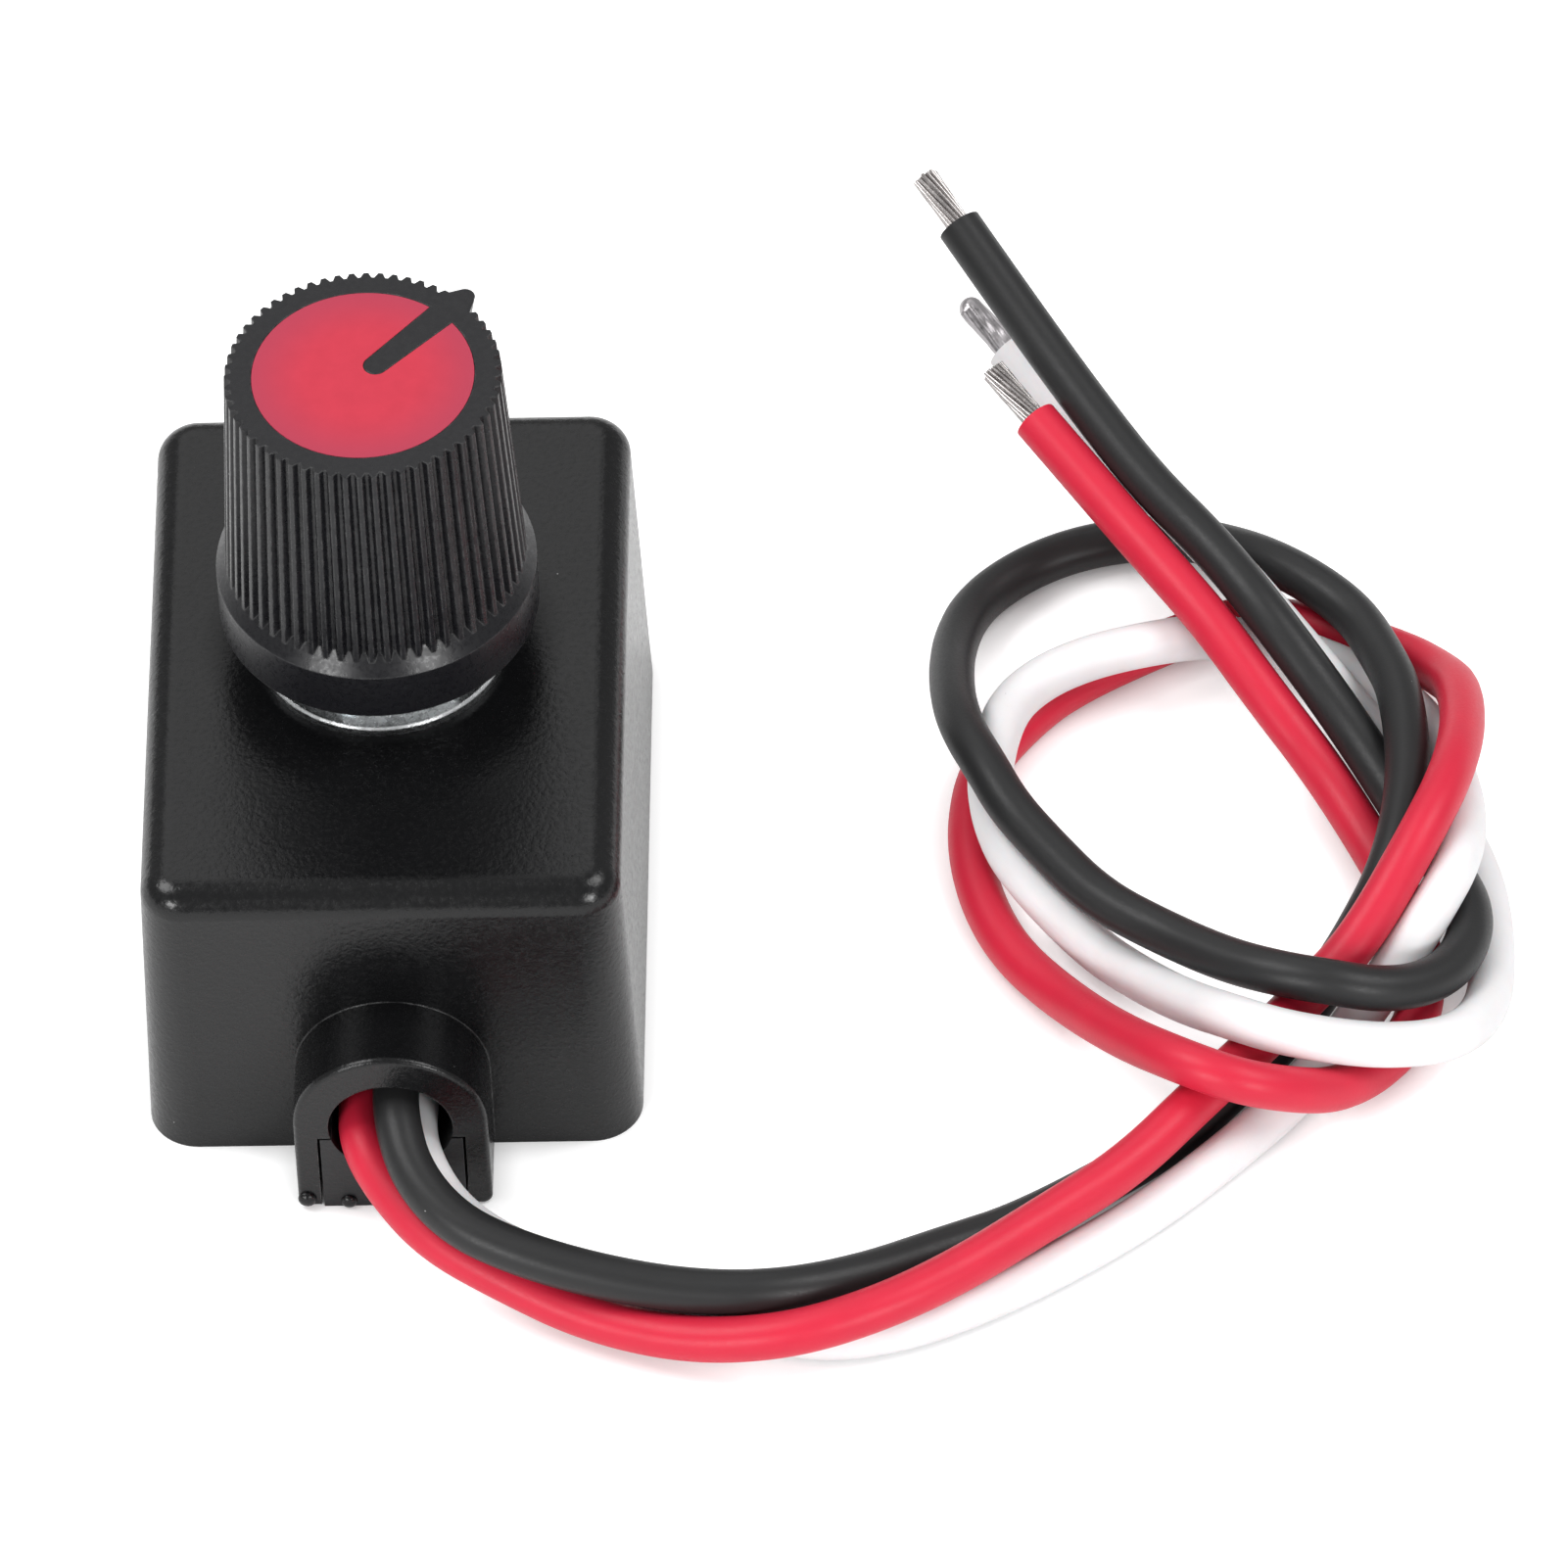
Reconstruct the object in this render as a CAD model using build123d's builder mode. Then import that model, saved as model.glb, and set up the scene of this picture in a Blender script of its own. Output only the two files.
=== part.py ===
# Rotary dimmer for low-voltage lighting: a small plastic case with one turning knob and three free leads.
#
# Millimetres. The origin is on the flat underside, at the middle of the case. +Z is up through the knob,
# +X is to the right of the case as photographed, and the leads leave towards -Y.
# The case holds a carbon potentiometer that hangs from the case top by its threaded neck, and a small
# circuit board that stands on the bottom cover. The knob turns with the potentiometer's shaft and wiper.

import os
from math import atan, cos, degrees, pi, radians, sin, sqrt, tan

from build123d import *

os.makedirs("parts", exist_ok=True)

# Case
CASE_WIDTH = 24.6
CASE_DEPTH = 33.7
CASE_HEIGHT = 18.0
CASE_DRAFT = 0.45
CASE_CORNER = 2.5
CASE_TOP_ROUND = 1.5
WALL = 1.5
CASE_TOP_WALL = 1.8
STOP_DEPTH = 1.1
STOP_WIDTH = 3.0
STOP_HEIGHT = 3.5
STOP_FROM_END = 3.85

# Lead outlet on the front of the case
OUTLET_LENGTH = 4.0
OUTLET_HALF_WIDTH = 4.83
OUTLET_TOP_AT_CASE = 10.4
OUTLET_TOP_AT_FRONT = 10.9
OUTLET_CENTRE_X = 0.1
OUTLET_HOLE_RADIUS = 3.1
OUTLET_HOLE_Z = 5.85
OUTLET_EDGE_ROUND = 0.25
OUTLET_FOOT_ROUND = 0.5
TONGUE_WIDTH = 7.1
TONGUE_TOP = 5.0
TONGUE_GAP = 0.13

# Bottom cover
COVER_THICKNESS = 1.5
COVER_GAP = 0.1
POST_HEIGHT = 0.5
POST_RADIUS = 1.3
POST_FROM_SIDE = 1.9
POST_FROM_END = 1.7
PEG_RADIUS = 0.7

# Circuit board
BOARD_THICKNESS = 1.6
BOARD_STOP_GAP = 0.2
BOARD_END_GAP = 0.75
HOLE_CLEARANCE = 0.05

# Potentiometer and knob share one upright axis
AXIS_X = -0.19
AXIS_Y = 0.64
SHAFT_RADIUS = 3.0
SHAFT_CLEARANCE = 0.03
NECK_RADIUS = 3.5
NECK_ABOVE_NUT = 0.4
NECK_CHAMFER = 0.25
FLANGE_RADIUS = 7.9
FLANGE_THICKNESS = 1.3
WAFER_THICKNESS = 1.5
CUP_GAP = 0.03
CUP_WALL = 0.4
CUP_CORNER = 0.6
CUP_RIM_GAP = 0.3
TRACK_THICKNESS = 0.1
TRACK_INNER = 4.4
TRACK_OUTER = 6.4
TRACK_SPAN = 300
ROTOR_RADIUS = 6.2
ROTOR_HEIGHT = 3.6
ROTOR_FLOOR_GAP = 1.3
CONTACT_THICKNESS = 0.35
CONTACT_GAP = 0.05
SHAFT_INTO_ROOF = 0.4
SLOT_WIDTH = 0.8
SLOT_DEPTH = 7.0
CLIP_THICKNESS = 0.5
CLIP_GAP = 0.12
CLIP_OUTER = 4.2
CLIP_GROOVE = 2.5
TERMINAL_PITCH = 5.0
TERMINAL_WIDTH = 1.0
TERMINAL_THICKNESS = 0.4
TERMINAL_REACH = 10.4

# Nut and washer on the case top
NUT_ACROSS_FLATS = 10.0
NUT_HEIGHT = 2.0
NUT_CHAMFER = 0.35
NUT_TURN = 12
THREAD_GAP = 0.02
WASHER_RADIUS = 6.35
WASHER_HOLE_RADIUS = 3.6
WASHER_THICKNESS = 0.6
WASHER_CHAMFER = 0.12

# Knob
KNOB_OVER_NECK = 0.34
KNOB_HEIGHT = 16.24
SKIRT_RADIUS = 7.96
SKIRT_HEIGHT = 2.75
SHOULDER_RUN = 0.85
SHOULDER_HEIGHT = 1.15
RIB_COUNT = 60
RIB_DEPTH = 0.3
RIB_FOOT_RADIUS = 7.52
RIB_TOP_RADIUS = 6.84
KNOB_INNER_RADIUS = 5.8
HUB_RADIUS = 4.3
HUB_RECESS = 1.2
KNOB_ROOF = 3.78
DISC_RADIUS = 5.52
DISC_THICKNESS = 0.8
DISC_GAP = 0.03
POINTER_ANGLE = 46.4
POINTER_START = 0.9
POINTER_INNER_WIDTH = 1.2
POINTER_OUTER_WIDTH = 1.55
POINTER_END = 5.87
NOSE_REACH = 7.62
NOSE_ROOT_REACH = 5.97
NOSE_ROOT_WIDTH = 2.47
NOSE_TIP_WIDTH = 0.95
NOSE_ROUNDING = 0.3
NOSE_HEIGHT = 2.6

# Leads: 18-gauge silicone wire with a stranded, tinned copper core
LEAD_DIAMETER = 2.3
CORE_RADIUS = 0.6
RED_CORE_LENGTH = 3.45
BLACK_CORE_LENGTH = 3.1
WHITE_CORE_LENGTH = 3.3

# Lead routes, from the solder pads out through the outlet to the cut ends
RED_ROUTE = [
    (-2.3, -13.7, 5.0), (-1.6, -15.6, 5.25), (-1.4, -18.2, 5.2), (-1.4, -20.9, 4.9), (-0.1, -23.1, 3.9),
    (2.2, -25.7, 2.95), (5.8, -27.8, 2.3), (9.8, -29.7, 1.5), (14.7, -31.6, 1.9), (19.6, -32.5, 3.15),
    (24.0, -31.3, 3.6), (28.1, -28.9, 3.6), (32.8, -25.0, 3.4), (36.6, -22.1, 3.6), (40.1, -17.8, 3.7),
    (43.1, -14.2, 3.7), (45.5, -11.2, 3.8), (48.2, -8.7, 5.05), (51.4, -3.7, 7.7), (52.8, 0.2, 7.4),
    (53.4, 4.8, 5.7), (53.2, 9.1, 3.8), (52.2, 11.6, 2.2), (50.2, 13.9, 1.3), (45.0, 16.2, 1.2),
    (41.9, 16.4, 1.2), (38.8, 15.2, 1.2), (33.4, 12.0, 1.2), (31.0, 9.5, 1.2), (29.0, 6.4, 1.2),
    (28.4, 2.4, 1.2), (28.9, -1.8, 1.2), (30.5, -5.8, 1.2), (33.2, -9.4, 1.7), (36.2, -13.9, 4.0),
    (39.2, -17.5, 6.2), (42.0, -18.8, 6.1), (44.5, -18.3, 4.8), (46.7, -16.8, 2.9), (48.6, -14.5, 1.5),
    (50.3, -12.2, 1.2), (51.1, -10.0, 1.2), (51.2, -7.1, 1.2), (50.5, -3.5, 1.2), (48.6, 1.1, 1.2),
    (46.2, 5.3, 2.2), (43.4, 8.5, 4.2), (40.8, 12.1, 5.7), (38.0, 15.8, 6.4), (35.2, 19.4, 7.3),
    (31.9, 23.4, 8.7),
]
BLACK_ROUTE = [
    (0.1, -13.7, 6.4), (0.1, -15.8, 7.0), (0.4, -18.3, 7.0), (0.4, -21.0, 6.9), (1.2, -24.0, 6.0),
    (3.3, -26.5, 5.15), (6.4, -28.0, 4.6), (10.4, -29.1, 4.0), (14.8, -29.8, 3.55), (19.1, -30.0, 3.6),
    (23.4, -28.2, 2.6), (27.5, -25.5, 1.5), (31.6, -23.6, 1.2), (38.6, -18.7, 1.2), (41.6, -15.1, 1.2),
    (44.5, -11.5, 1.2), (46.5, -8.3, 1.7), (47.9, -6.3, 2.6), (49.8, -3.2, 4.35), (50.7, 2.0, 5.1),
    (50.3, 8.0, 4.7), (49.3, 11.1, 4.2), (48.0, 14.2, 3.8), (45.8, 16.5, 3.8), (43.4, 18.7, 3.2),
    (41.2, 20.6, 2.1), (39.0, 21.8, 1.4), (36.3, 21.9, 1.2), (33.4, 21.2, 1.2), (30.7, 19.7, 1.2),
    (28.5, 17.2, 1.5), (27.6, 13.5, 2.6), (27.6, 9.0, 4.4), (28.2, 5.2, 5.75), (29.4, 2.3, 6.2),
    (30.6, -0.2, 5.9), (32.4, -2.3, 5.2), (35.0, -5.1, 4.4), (38.2, -7.4, 4.4), (41.4, -10.1, 5.3),
    (44.2, -11.9, 6.2), (46.8, -12.6, 6.3), (49.0, -12.5, 5.6), (51.1, -11.5, 4.7), (52.8, -9.7, 4.0),
    (53.7, -7.2, 3.7), (53.5, -4.6, 3.3), (52.4, -2.0, 2.8), (50.8, 1.1, 2.45), (47.6, 7.1, 3.5),
    (43.4, 12.2, 6.6), (40.7, 16.4, 6.9), (37.6, 19.8, 7.8), (34.8, 23.6, 9.0), (31.4, 28.5, 10.7),
    (28.1, 33.1, 12.8),
]
WHITE_ROUTE = [
    (2.4, -13.7, 4.9), (1.4, -15.6, 4.65), (1.2, -18.2, 4.4), (1.2, -20.8, 4.4), (2.5, -22.8, 2.6),
    (4.7, -24.5, 1.65), (8.3, -26.3, 1.25), (12.2, -28.0, 1.2), (16.1, -29.4, 1.2), (21.0, -31.1, 1.2),
    (25.3, -30.5, 1.2), (29.7, -28.5, 1.2), (34.0, -25.8, 1.2), (37.9, -22.8, 1.2), (41.3, -19.5, 1.2),
    (44.4, -16.1, 1.2), (46.8, -12.7, 1.3), (48.7, -10.3, 2.4), (50.4, -8.6, 4.05), (52.0, -6.6, 5.5),
    (53.2, -3.9, 5.75), (53.4, -0.5, 4.9), (53.0, 3.0, 3.75), (52.1, 6.5, 2.7), (50.8, 9.7, 1.6),
    (49.0, 11.8, 1.2), (46.8, 12.8, 1.6), (44.7, 13.7, 1.83), (42.4, 14.0, 2.2), (40.1, 13.7, 2.9),
    (37.4, 12.7, 3.5), (34.6, 11.8, 3.6), (32.2, 10.5, 3.6), (30.5, 8.6, 3.6), (29.8, 6.1, 3.55),
    (29.5, 3.3, 3.6), (29.9, 0.5, 3.5), (31.0, -2.2, 3.2), (34.6, -5.9, 1.6), (37.1, -8.7, 2.3),
    (39.4, -11.9, 4.2), (41.8, -14.6, 6.1), (44.4, -15.8, 6.2), (48.0, -15.4, 4.8), (50.6, -14.7, 3.9),
    (52.5, -13.9, 3.4), (53.8, -12.4, 2.8), (54.5, -10.1, 1.9), (54.7, -7.4, 1.3), (54.6, -4.5, 1.2),
    (54.2, -1.6, 1.2), (53.1, 1.6, 1.2), (51.0, 4.4, 1.2), (48.9, 8.2, 1.3), (44.9, 12.2, 4.0),
    (42.8, 15.0, 4.65), (40.5, 18.8, 4.3), (38.0, 22.6, 3.9), (35.7, 25.6, 4.4), (32.9, 27.6, 5.2),
    (30.4, 30.4, 6.4),
]

# Heights and places that follow from the sizes above
CASE_FRONT = -CASE_DEPTH / 2
CASE_INSIDE_TOP = CASE_HEIGHT - CASE_TOP_WALL
TAPER = degrees(atan(CASE_DRAFT / CASE_HEIGHT))
OUTLET_FRONT = CASE_FRONT - OUTLET_LENGTH
BOARD_BOTTOM = COVER_THICKNESS + POST_HEIGHT
BOARD_TOP = BOARD_BOTTOM + BOARD_THICKNESS
BOARD_HALF_WIDTH = CASE_WIDTH / 2 - WALL - STOP_DEPTH - BOARD_STOP_GAP
BOARD_HALF_DEPTH = CASE_DEPTH / 2 - WALL - BOARD_END_GAP
POST_X = BOARD_HALF_WIDTH - POST_FROM_SIDE
POST_Y = BOARD_HALF_DEPTH - POST_FROM_END
STOP_Y = CASE_DEPTH / 2 - WALL - STOP_FROM_END
FLANGE_BOTTOM = CASE_INSIDE_TOP - FLANGE_THICKNESS
WAFER_BOTTOM = FLANGE_BOTTOM - WAFER_THICKNESS
ROTOR_TOP = WAFER_BOTTOM - TRACK_THICKNESS - CONTACT_GAP - CONTACT_THICKNESS
ROTOR_BOTTOM = ROTOR_TOP - ROTOR_HEIGHT
CUP_BOTTOM = ROTOR_BOTTOM - ROTOR_FLOOR_GAP - CUP_WALL
CUP_INNER_RADIUS = FLANGE_RADIUS + CUP_GAP
CUP_OUTER_RADIUS = CUP_INNER_RADIUS + CUP_WALL
TERMINAL_Y = AXIS_Y - TERMINAL_REACH
WASHER_TOP = CASE_HEIGHT + WASHER_THICKNESS
NUT_TOP = WASHER_TOP + NUT_HEIGHT
NECK_TOP = NUT_TOP + NECK_ABOVE_NUT
CLIP_BOTTOM = NECK_TOP + CLIP_GAP
KNOB_BOTTOM = NECK_TOP + KNOB_OVER_NECK
KNOB_TOP = KNOB_BOTTOM + KNOB_HEIGHT
KNOB_HOLLOW_TOP = KNOB_TOP - KNOB_ROOF
SHAFT_TOP = KNOB_HOLLOW_TOP + SHAFT_INTO_ROOF
SKIRT_TOP = KNOB_BOTTOM + SKIRT_HEIGHT
DISC_BOTTOM = KNOB_TOP - DISC_THICKNESS
POINTER = radians(POINTER_ANGLE)


def save(solid, name):
    """Label a finished piece with its node name and write it out."""
    solid.label = name
    export_step(solid, f"parts/{name}.step")
    print(f"{name}: {len(solid.solids())} solid(s), {solid.volume:.1f} mm3")


def along_pointer(distance, side):
    """A point on the knob's top, measured from the axis along and across the pointer."""
    return (
        AXIS_X + distance * cos(POINTER) - side * sin(POINTER),
        AXIS_Y + distance * sin(POINTER) + side * cos(POINTER),
    )


# Case shell: one moulding with four drafted walls, a closed top and the arched lead outlet
def make_case_shell():
    cavity_width = CASE_WIDTH - 2 * WALL
    cavity_depth = CASE_DEPTH - 2 * WALL
    with BuildPart() as case_shell:
        with BuildSketch(Plane.XY):
            RectangleRounded(CASE_WIDTH, CASE_DEPTH, CASE_CORNER)
        extrude(amount=CASE_HEIGHT, taper=TAPER)
        fillet(case_shell.edges().group_by(Axis.Z)[-1], CASE_TOP_ROUND)
        # The outlet rises a little towards its mouth
        for y, top in ((CASE_FRONT + WALL / 2, OUTLET_TOP_AT_CASE), (OUTLET_FRONT, OUTLET_TOP_AT_FRONT)):
            with BuildSketch(Plane.XZ.offset(-y)) as outline:
                with BuildLine():
                    foot_left = (OUTLET_CENTRE_X - OUTLET_HALF_WIDTH, 0)
                    foot_right = (OUTLET_CENTRE_X + OUTLET_HALF_WIDTH, 0)
                    spring_left = (foot_left[0], top - OUTLET_HALF_WIDTH)
                    spring_right = (foot_right[0], top - OUTLET_HALF_WIDTH)
                    Line(foot_left, spring_left)
                    ThreePointArc(spring_left, (OUTLET_CENTRE_X, top), spring_right)
                    Line(spring_right, foot_right)
                    Line(foot_right, foot_left)
                make_face()
                fillet(outline.vertices().sort_by(Axis.Y)[:2], OUTLET_FOOT_ROUND)
        loft()
        mouth = case_shell.faces().sort_by(Axis.Y)[0]
        arch = mouth.edges().sort_by(SortBy.LENGTH)[-1]
        fillet(arch, OUTLET_EDGE_ROUND)
        # Cavity, closed at the top
        with BuildSketch(Plane.XY):
            RectangleRounded(cavity_width, cavity_depth, CASE_CORNER - WALL)
        extrude(amount=CASE_INSIDE_TOP, taper=TAPER, mode=Mode.SUBTRACT)
        # Lead hole, and below it the slot that the cover's tongue closes
        with BuildSketch(Plane.XZ.offset(-OUTLET_FRONT)):
            with Locations((OUTLET_CENTRE_X, OUTLET_HOLE_Z)):
                Circle(OUTLET_HOLE_RADIUS)
            with Locations((OUTLET_CENTRE_X, (TONGUE_TOP + TONGUE_GAP) / 2)):
                Rectangle(TONGUE_WIDTH + 2 * TONGUE_GAP, TONGUE_TOP + TONGUE_GAP)
        extrude(amount=-(OUTLET_LENGTH + 2 * WALL), mode=Mode.SUBTRACT)
        # Hole for the potentiometer's neck
        with BuildSketch(Plane.XY.offset(CASE_INSIDE_TOP)):
            with Locations((AXIS_X, AXIS_Y)):
                Circle(WASHER_HOLE_RADIUS)
        extrude(amount=CASE_TOP_WALL, mode=Mode.SUBTRACT)
        # Four stops on the side walls, which the cover lands on
        with BuildSketch(Plane.XY.offset(COVER_THICKNESS)):
            for side in (-1, 1):
                for end in (-1, 1):
                    with Locations((side * (cavity_width / 2 - STOP_DEPTH / 2 + WALL / 4), end * STOP_Y)):
                        Rectangle(STOP_DEPTH + WALL / 2, STOP_WIDTH)
        extrude(amount=STOP_HEIGHT)
    return case_shell.part


# Bottom cover: a flat plate with the tongue under the outlet and four posts for the board
def make_bottom_cover():
    with BuildPart() as bottom_cover:
        with BuildSketch(Plane.XY):
            RectangleRounded(
                CASE_WIDTH - 2 * WALL - 2 * COVER_GAP,
                CASE_DEPTH - 2 * WALL - 2 * COVER_GAP,
                CASE_CORNER - WALL,
            )
        extrude(amount=COVER_THICKNESS)
        with BuildSketch(Plane.XZ.offset(-OUTLET_FRONT)):
            with Locations((OUTLET_CENTRE_X, TONGUE_TOP / 2)):
                Rectangle(TONGUE_WIDTH, TONGUE_TOP)
            with Locations((OUTLET_CENTRE_X, OUTLET_HOLE_Z)):
                Circle(OUTLET_HOLE_RADIUS, mode=Mode.SUBTRACT)
        extrude(amount=-(OUTLET_LENGTH + WALL + COVER_GAP))
        with BuildSketch(Plane.XY.offset(COVER_THICKNESS)):
            with GridLocations(2 * POST_X, 2 * POST_Y, 2, 2):
                Circle(POST_RADIUS)
        extrude(amount=POST_HEIGHT)
        with BuildSketch(Plane.XY.offset(BOARD_BOTTOM)):
            with GridLocations(2 * POST_X, 2 * POST_Y, 2, 2):
                Circle(PEG_RADIUS)
        extrude(amount=BOARD_THICKNESS)
    return bottom_cover.part


# The capacitor is as fat as the corner between two board edges and the potentiometer's round cup allows
CAPACITOR_SIDE_GAP = 0.15
CAPACITOR_END_GAP = 0.25
CAPACITOR_CUP_GAP = 0.85
CAPACITOR_STEP = 0.05
CORNER_X = BOARD_HALF_WIDTH - CAPACITOR_SIDE_GAP - AXIS_X
CORNER_Y = BOARD_HALF_DEPTH - CAPACITOR_END_GAP - AXIS_Y
CUP_REACH = CUP_OUTER_RADIUS + CAPACITOR_CUP_GAP
CORNER_SUM = CORNER_X + CORNER_Y + CUP_REACH
FREE_RADIUS = CORNER_SUM - sqrt(CORNER_SUM**2 - CORNER_X**2 - CORNER_Y**2 + CUP_REACH**2)
CAPACITOR_RADIUS = FREE_RADIUS // CAPACITOR_STEP * CAPACITOR_STEP
CAPACITOR_X = BOARD_HALF_WIDTH - CAPACITOR_RADIUS - CAPACITOR_SIDE_GAP
CAPACITOR_Y = BOARD_HALF_DEPTH - CAPACITOR_RADIUS - CAPACITOR_END_GAP
CAPACITOR_HEADROOM = 1.6
CAPACITOR_TOP = CASE_INSIDE_TOP - CAPACITOR_HEADROOM
CAPACITOR_CHAMFER = 0.3
CAPACITOR_PITCH = 2.5
LEG_RADIUS = 0.25
LEG_BELOW = 0.35
DIODE_FROM_SIDE = 1.5
DIODE_X = DIODE_FROM_SIDE - BOARD_HALF_WIDTH
DIODE_Y = -2.5
DIODE_HALF_PITCH = 4.5


# Circuit board: glass-fibre board with holes for the pegs and the soldered legs
def make_circuit_board():
    hole = LEG_RADIUS + HOLE_CLEARANCE
    with BuildPart() as circuit_board:
        with BuildSketch(Plane.XY.offset(BOARD_BOTTOM)):
            Rectangle(2 * BOARD_HALF_WIDTH, 2 * BOARD_HALF_DEPTH)
            with GridLocations(2 * POST_X, 2 * POST_Y, 2, 2):
                Circle(PEG_RADIUS + HOLE_CLEARANCE, mode=Mode.SUBTRACT)
            with Locations((CAPACITOR_X, CAPACITOR_Y)):
                with GridLocations(CAPACITOR_PITCH, 0, 2, 1):
                    Circle(hole, mode=Mode.SUBTRACT)
            with Locations((DIODE_X, DIODE_Y)):
                with GridLocations(0, 2 * DIODE_HALF_PITCH, 1, 2):
                    Circle(hole, mode=Mode.SUBTRACT)
            with Locations((AXIS_X, TERMINAL_Y)):
                with GridLocations(TERMINAL_PITCH, 0, 3, 1):
                    Rectangle(
                        TERMINAL_WIDTH + 2 * HOLE_CLEARANCE,
                        TERMINAL_THICKNESS + 2 * HOLE_CLEARANCE,
                        mode=Mode.SUBTRACT,
                    )
        extrude(amount=BOARD_THICKNESS)
    return circuit_board.part


# Electrolytic capacitor: an upright can on two legs
def make_capacitor():
    with BuildPart() as capacitor:
        with BuildSketch(Plane.XY.offset(BOARD_TOP)):
            with Locations((CAPACITOR_X, CAPACITOR_Y)):
                Circle(CAPACITOR_RADIUS)
        extrude(amount=CAPACITOR_TOP - BOARD_TOP)
        chamfer(capacitor.edges().group_by(Axis.Z)[-1], CAPACITOR_CHAMFER)
        with BuildSketch(Plane.XY.offset(BOARD_BOTTOM - LEG_BELOW)):
            with Locations((CAPACITOR_X, CAPACITOR_Y)):
                with GridLocations(CAPACITOR_PITCH, 0, 2, 1):
                    Circle(LEG_RADIUS)
        extrude(amount=BOARD_THICKNESS + LEG_BELOW)
    return capacitor.part


# Flyback diode: a lying barrel with two bent legs
def make_diode():
    barrel_radius = 1.2
    barrel_length = 5.0
    axis_height = BOARD_TOP + barrel_radius
    with BuildPart() as diode:
        with BuildSketch(Plane.XZ.offset(-(DIODE_Y - barrel_length / 2))):
            with Locations((DIODE_X, axis_height)):
                Circle(barrel_radius)
        extrude(amount=-barrel_length)
        with BuildSketch(Plane.XZ.offset(-(DIODE_Y - DIODE_HALF_PITCH))):
            with Locations((DIODE_X, axis_height)):
                Circle(LEG_RADIUS)
        extrude(amount=-2 * DIODE_HALF_PITCH)
        with BuildSketch(Plane.XY.offset(BOARD_BOTTOM - LEG_BELOW)):
            with Locations((DIODE_X, DIODE_Y)):
                with GridLocations(0, 2 * DIODE_HALF_PITCH, 1, 2):
                    Circle(LEG_RADIUS)
        extrude(amount=axis_height - BOARD_BOTTOM + LEG_BELOW + LEG_RADIUS)
    return diode.part


# Power transistor: a flat surface-mount package with a heat tab and two legs
TRANSISTOR_FROM_SIDE = 4.9
TRANSISTOR_FROM_END = 2.15


def make_power_transistor():
    body_width, body_length, body_height = 6.5, 6.1, 2.3
    tab_width, tab_length, metal_thickness = 5.2, 0.75, 0.5
    leg_width, leg_length, leg_pitch = 0.8, 2.1, 4.6
    place_x = TRANSISTOR_FROM_SIDE - BOARD_HALF_WIDTH
    body_end = BOARD_HALF_DEPTH - TRANSISTOR_FROM_END
    body_start = body_end - body_length
    with BuildPart() as power_transistor:
        with Locations((place_x, body_start, BOARD_TOP)):
            Box(body_width, body_length, body_height, align=(Align.CENTER, Align.MIN, Align.MIN))
        with Locations((place_x, body_end, BOARD_TOP)):
            Box(tab_width, tab_length, metal_thickness, align=(Align.CENTER, Align.MIN, Align.MIN))
        with Locations((place_x, body_start, BOARD_TOP)):
            with GridLocations(leg_pitch, 0, 2, 1):
                Box(leg_width, leg_length, metal_thickness, align=(Align.CENTER, Align.MAX, Align.MIN))
    return power_transistor.part


# Timer chip: an eight-legged package that makes the switching pulses
def make_timer_chip():
    place_x, place_y = 3.2, -1.6
    body_width, body_length, body_height = 3.9, 4.9, 1.4
    body_above_board = 0.15
    leg_length, leg_width, leg_height = 1.3, 0.42, 0.45
    leg_span, leg_pitch = 5.2, 1.27
    with BuildPart() as timer_chip:
        with Locations((place_x, place_y, BOARD_TOP + body_above_board)):
            Box(body_width, body_length, body_height, align=(Align.CENTER, Align.CENTER, Align.MIN))
        with Locations((place_x, place_y, BOARD_TOP)):
            with GridLocations(leg_span, leg_pitch, 2, 4):
                Box(leg_length, leg_width, leg_height, align=(Align.CENTER, Align.CENTER, Align.MIN))
    return timer_chip.part


# Chip resistors and chip capacitors: small bricks soldered flat on the board
CHIP_LENGTH = 2.0
CHIP_WIDTH = 1.25
CHIP_ROW_FROM_END = 6.5


def make_chip_resistors():
    row_y = CHIP_ROW_FROM_END - BOARD_HALF_DEPTH
    shares_of_half_width = (-0.66, -0.33, 0.23, 0.69)
    thickness = 0.55
    with BuildPart() as chip_resistors:
        with Locations(*[(share * BOARD_HALF_WIDTH, row_y, BOARD_TOP) for share in shares_of_half_width]):
            Box(CHIP_LENGTH, CHIP_WIDTH, thickness, align=(Align.CENTER, Align.CENTER, Align.MIN))
    return chip_resistors.part


def make_chip_capacitors():
    place_x, place_y = -2.6, -2.4
    pitch = 2.6
    thickness = 0.8
    with BuildPart() as chip_capacitors:
        with Locations((place_x, place_y, BOARD_TOP)):
            with GridLocations(0, pitch, 1, 3):
                Box(CHIP_LENGTH, CHIP_WIDTH, thickness, align=(Align.CENTER, Align.CENTER, Align.MIN))
    return chip_capacitors.part


# Solder joints: a lump of solder over each lead's stripped inner end
def make_solder_joints():
    joint_width = 1.9
    joint_length = 2.2
    rise_over_lead = 0.3
    with BuildPart() as solder_joints:
        for start in (RED_ROUTE[0], BLACK_ROUTE[0], WHITE_ROUTE[0]):
            with BuildSketch(Plane.XY.offset(BOARD_TOP)):
                with Locations((start[0], start[1] + joint_length / 2)):
                    Rectangle(joint_width, joint_length)
            extrude(amount=start[2] + rise_over_lead - BOARD_TOP)
    return solder_joints.part


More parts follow.
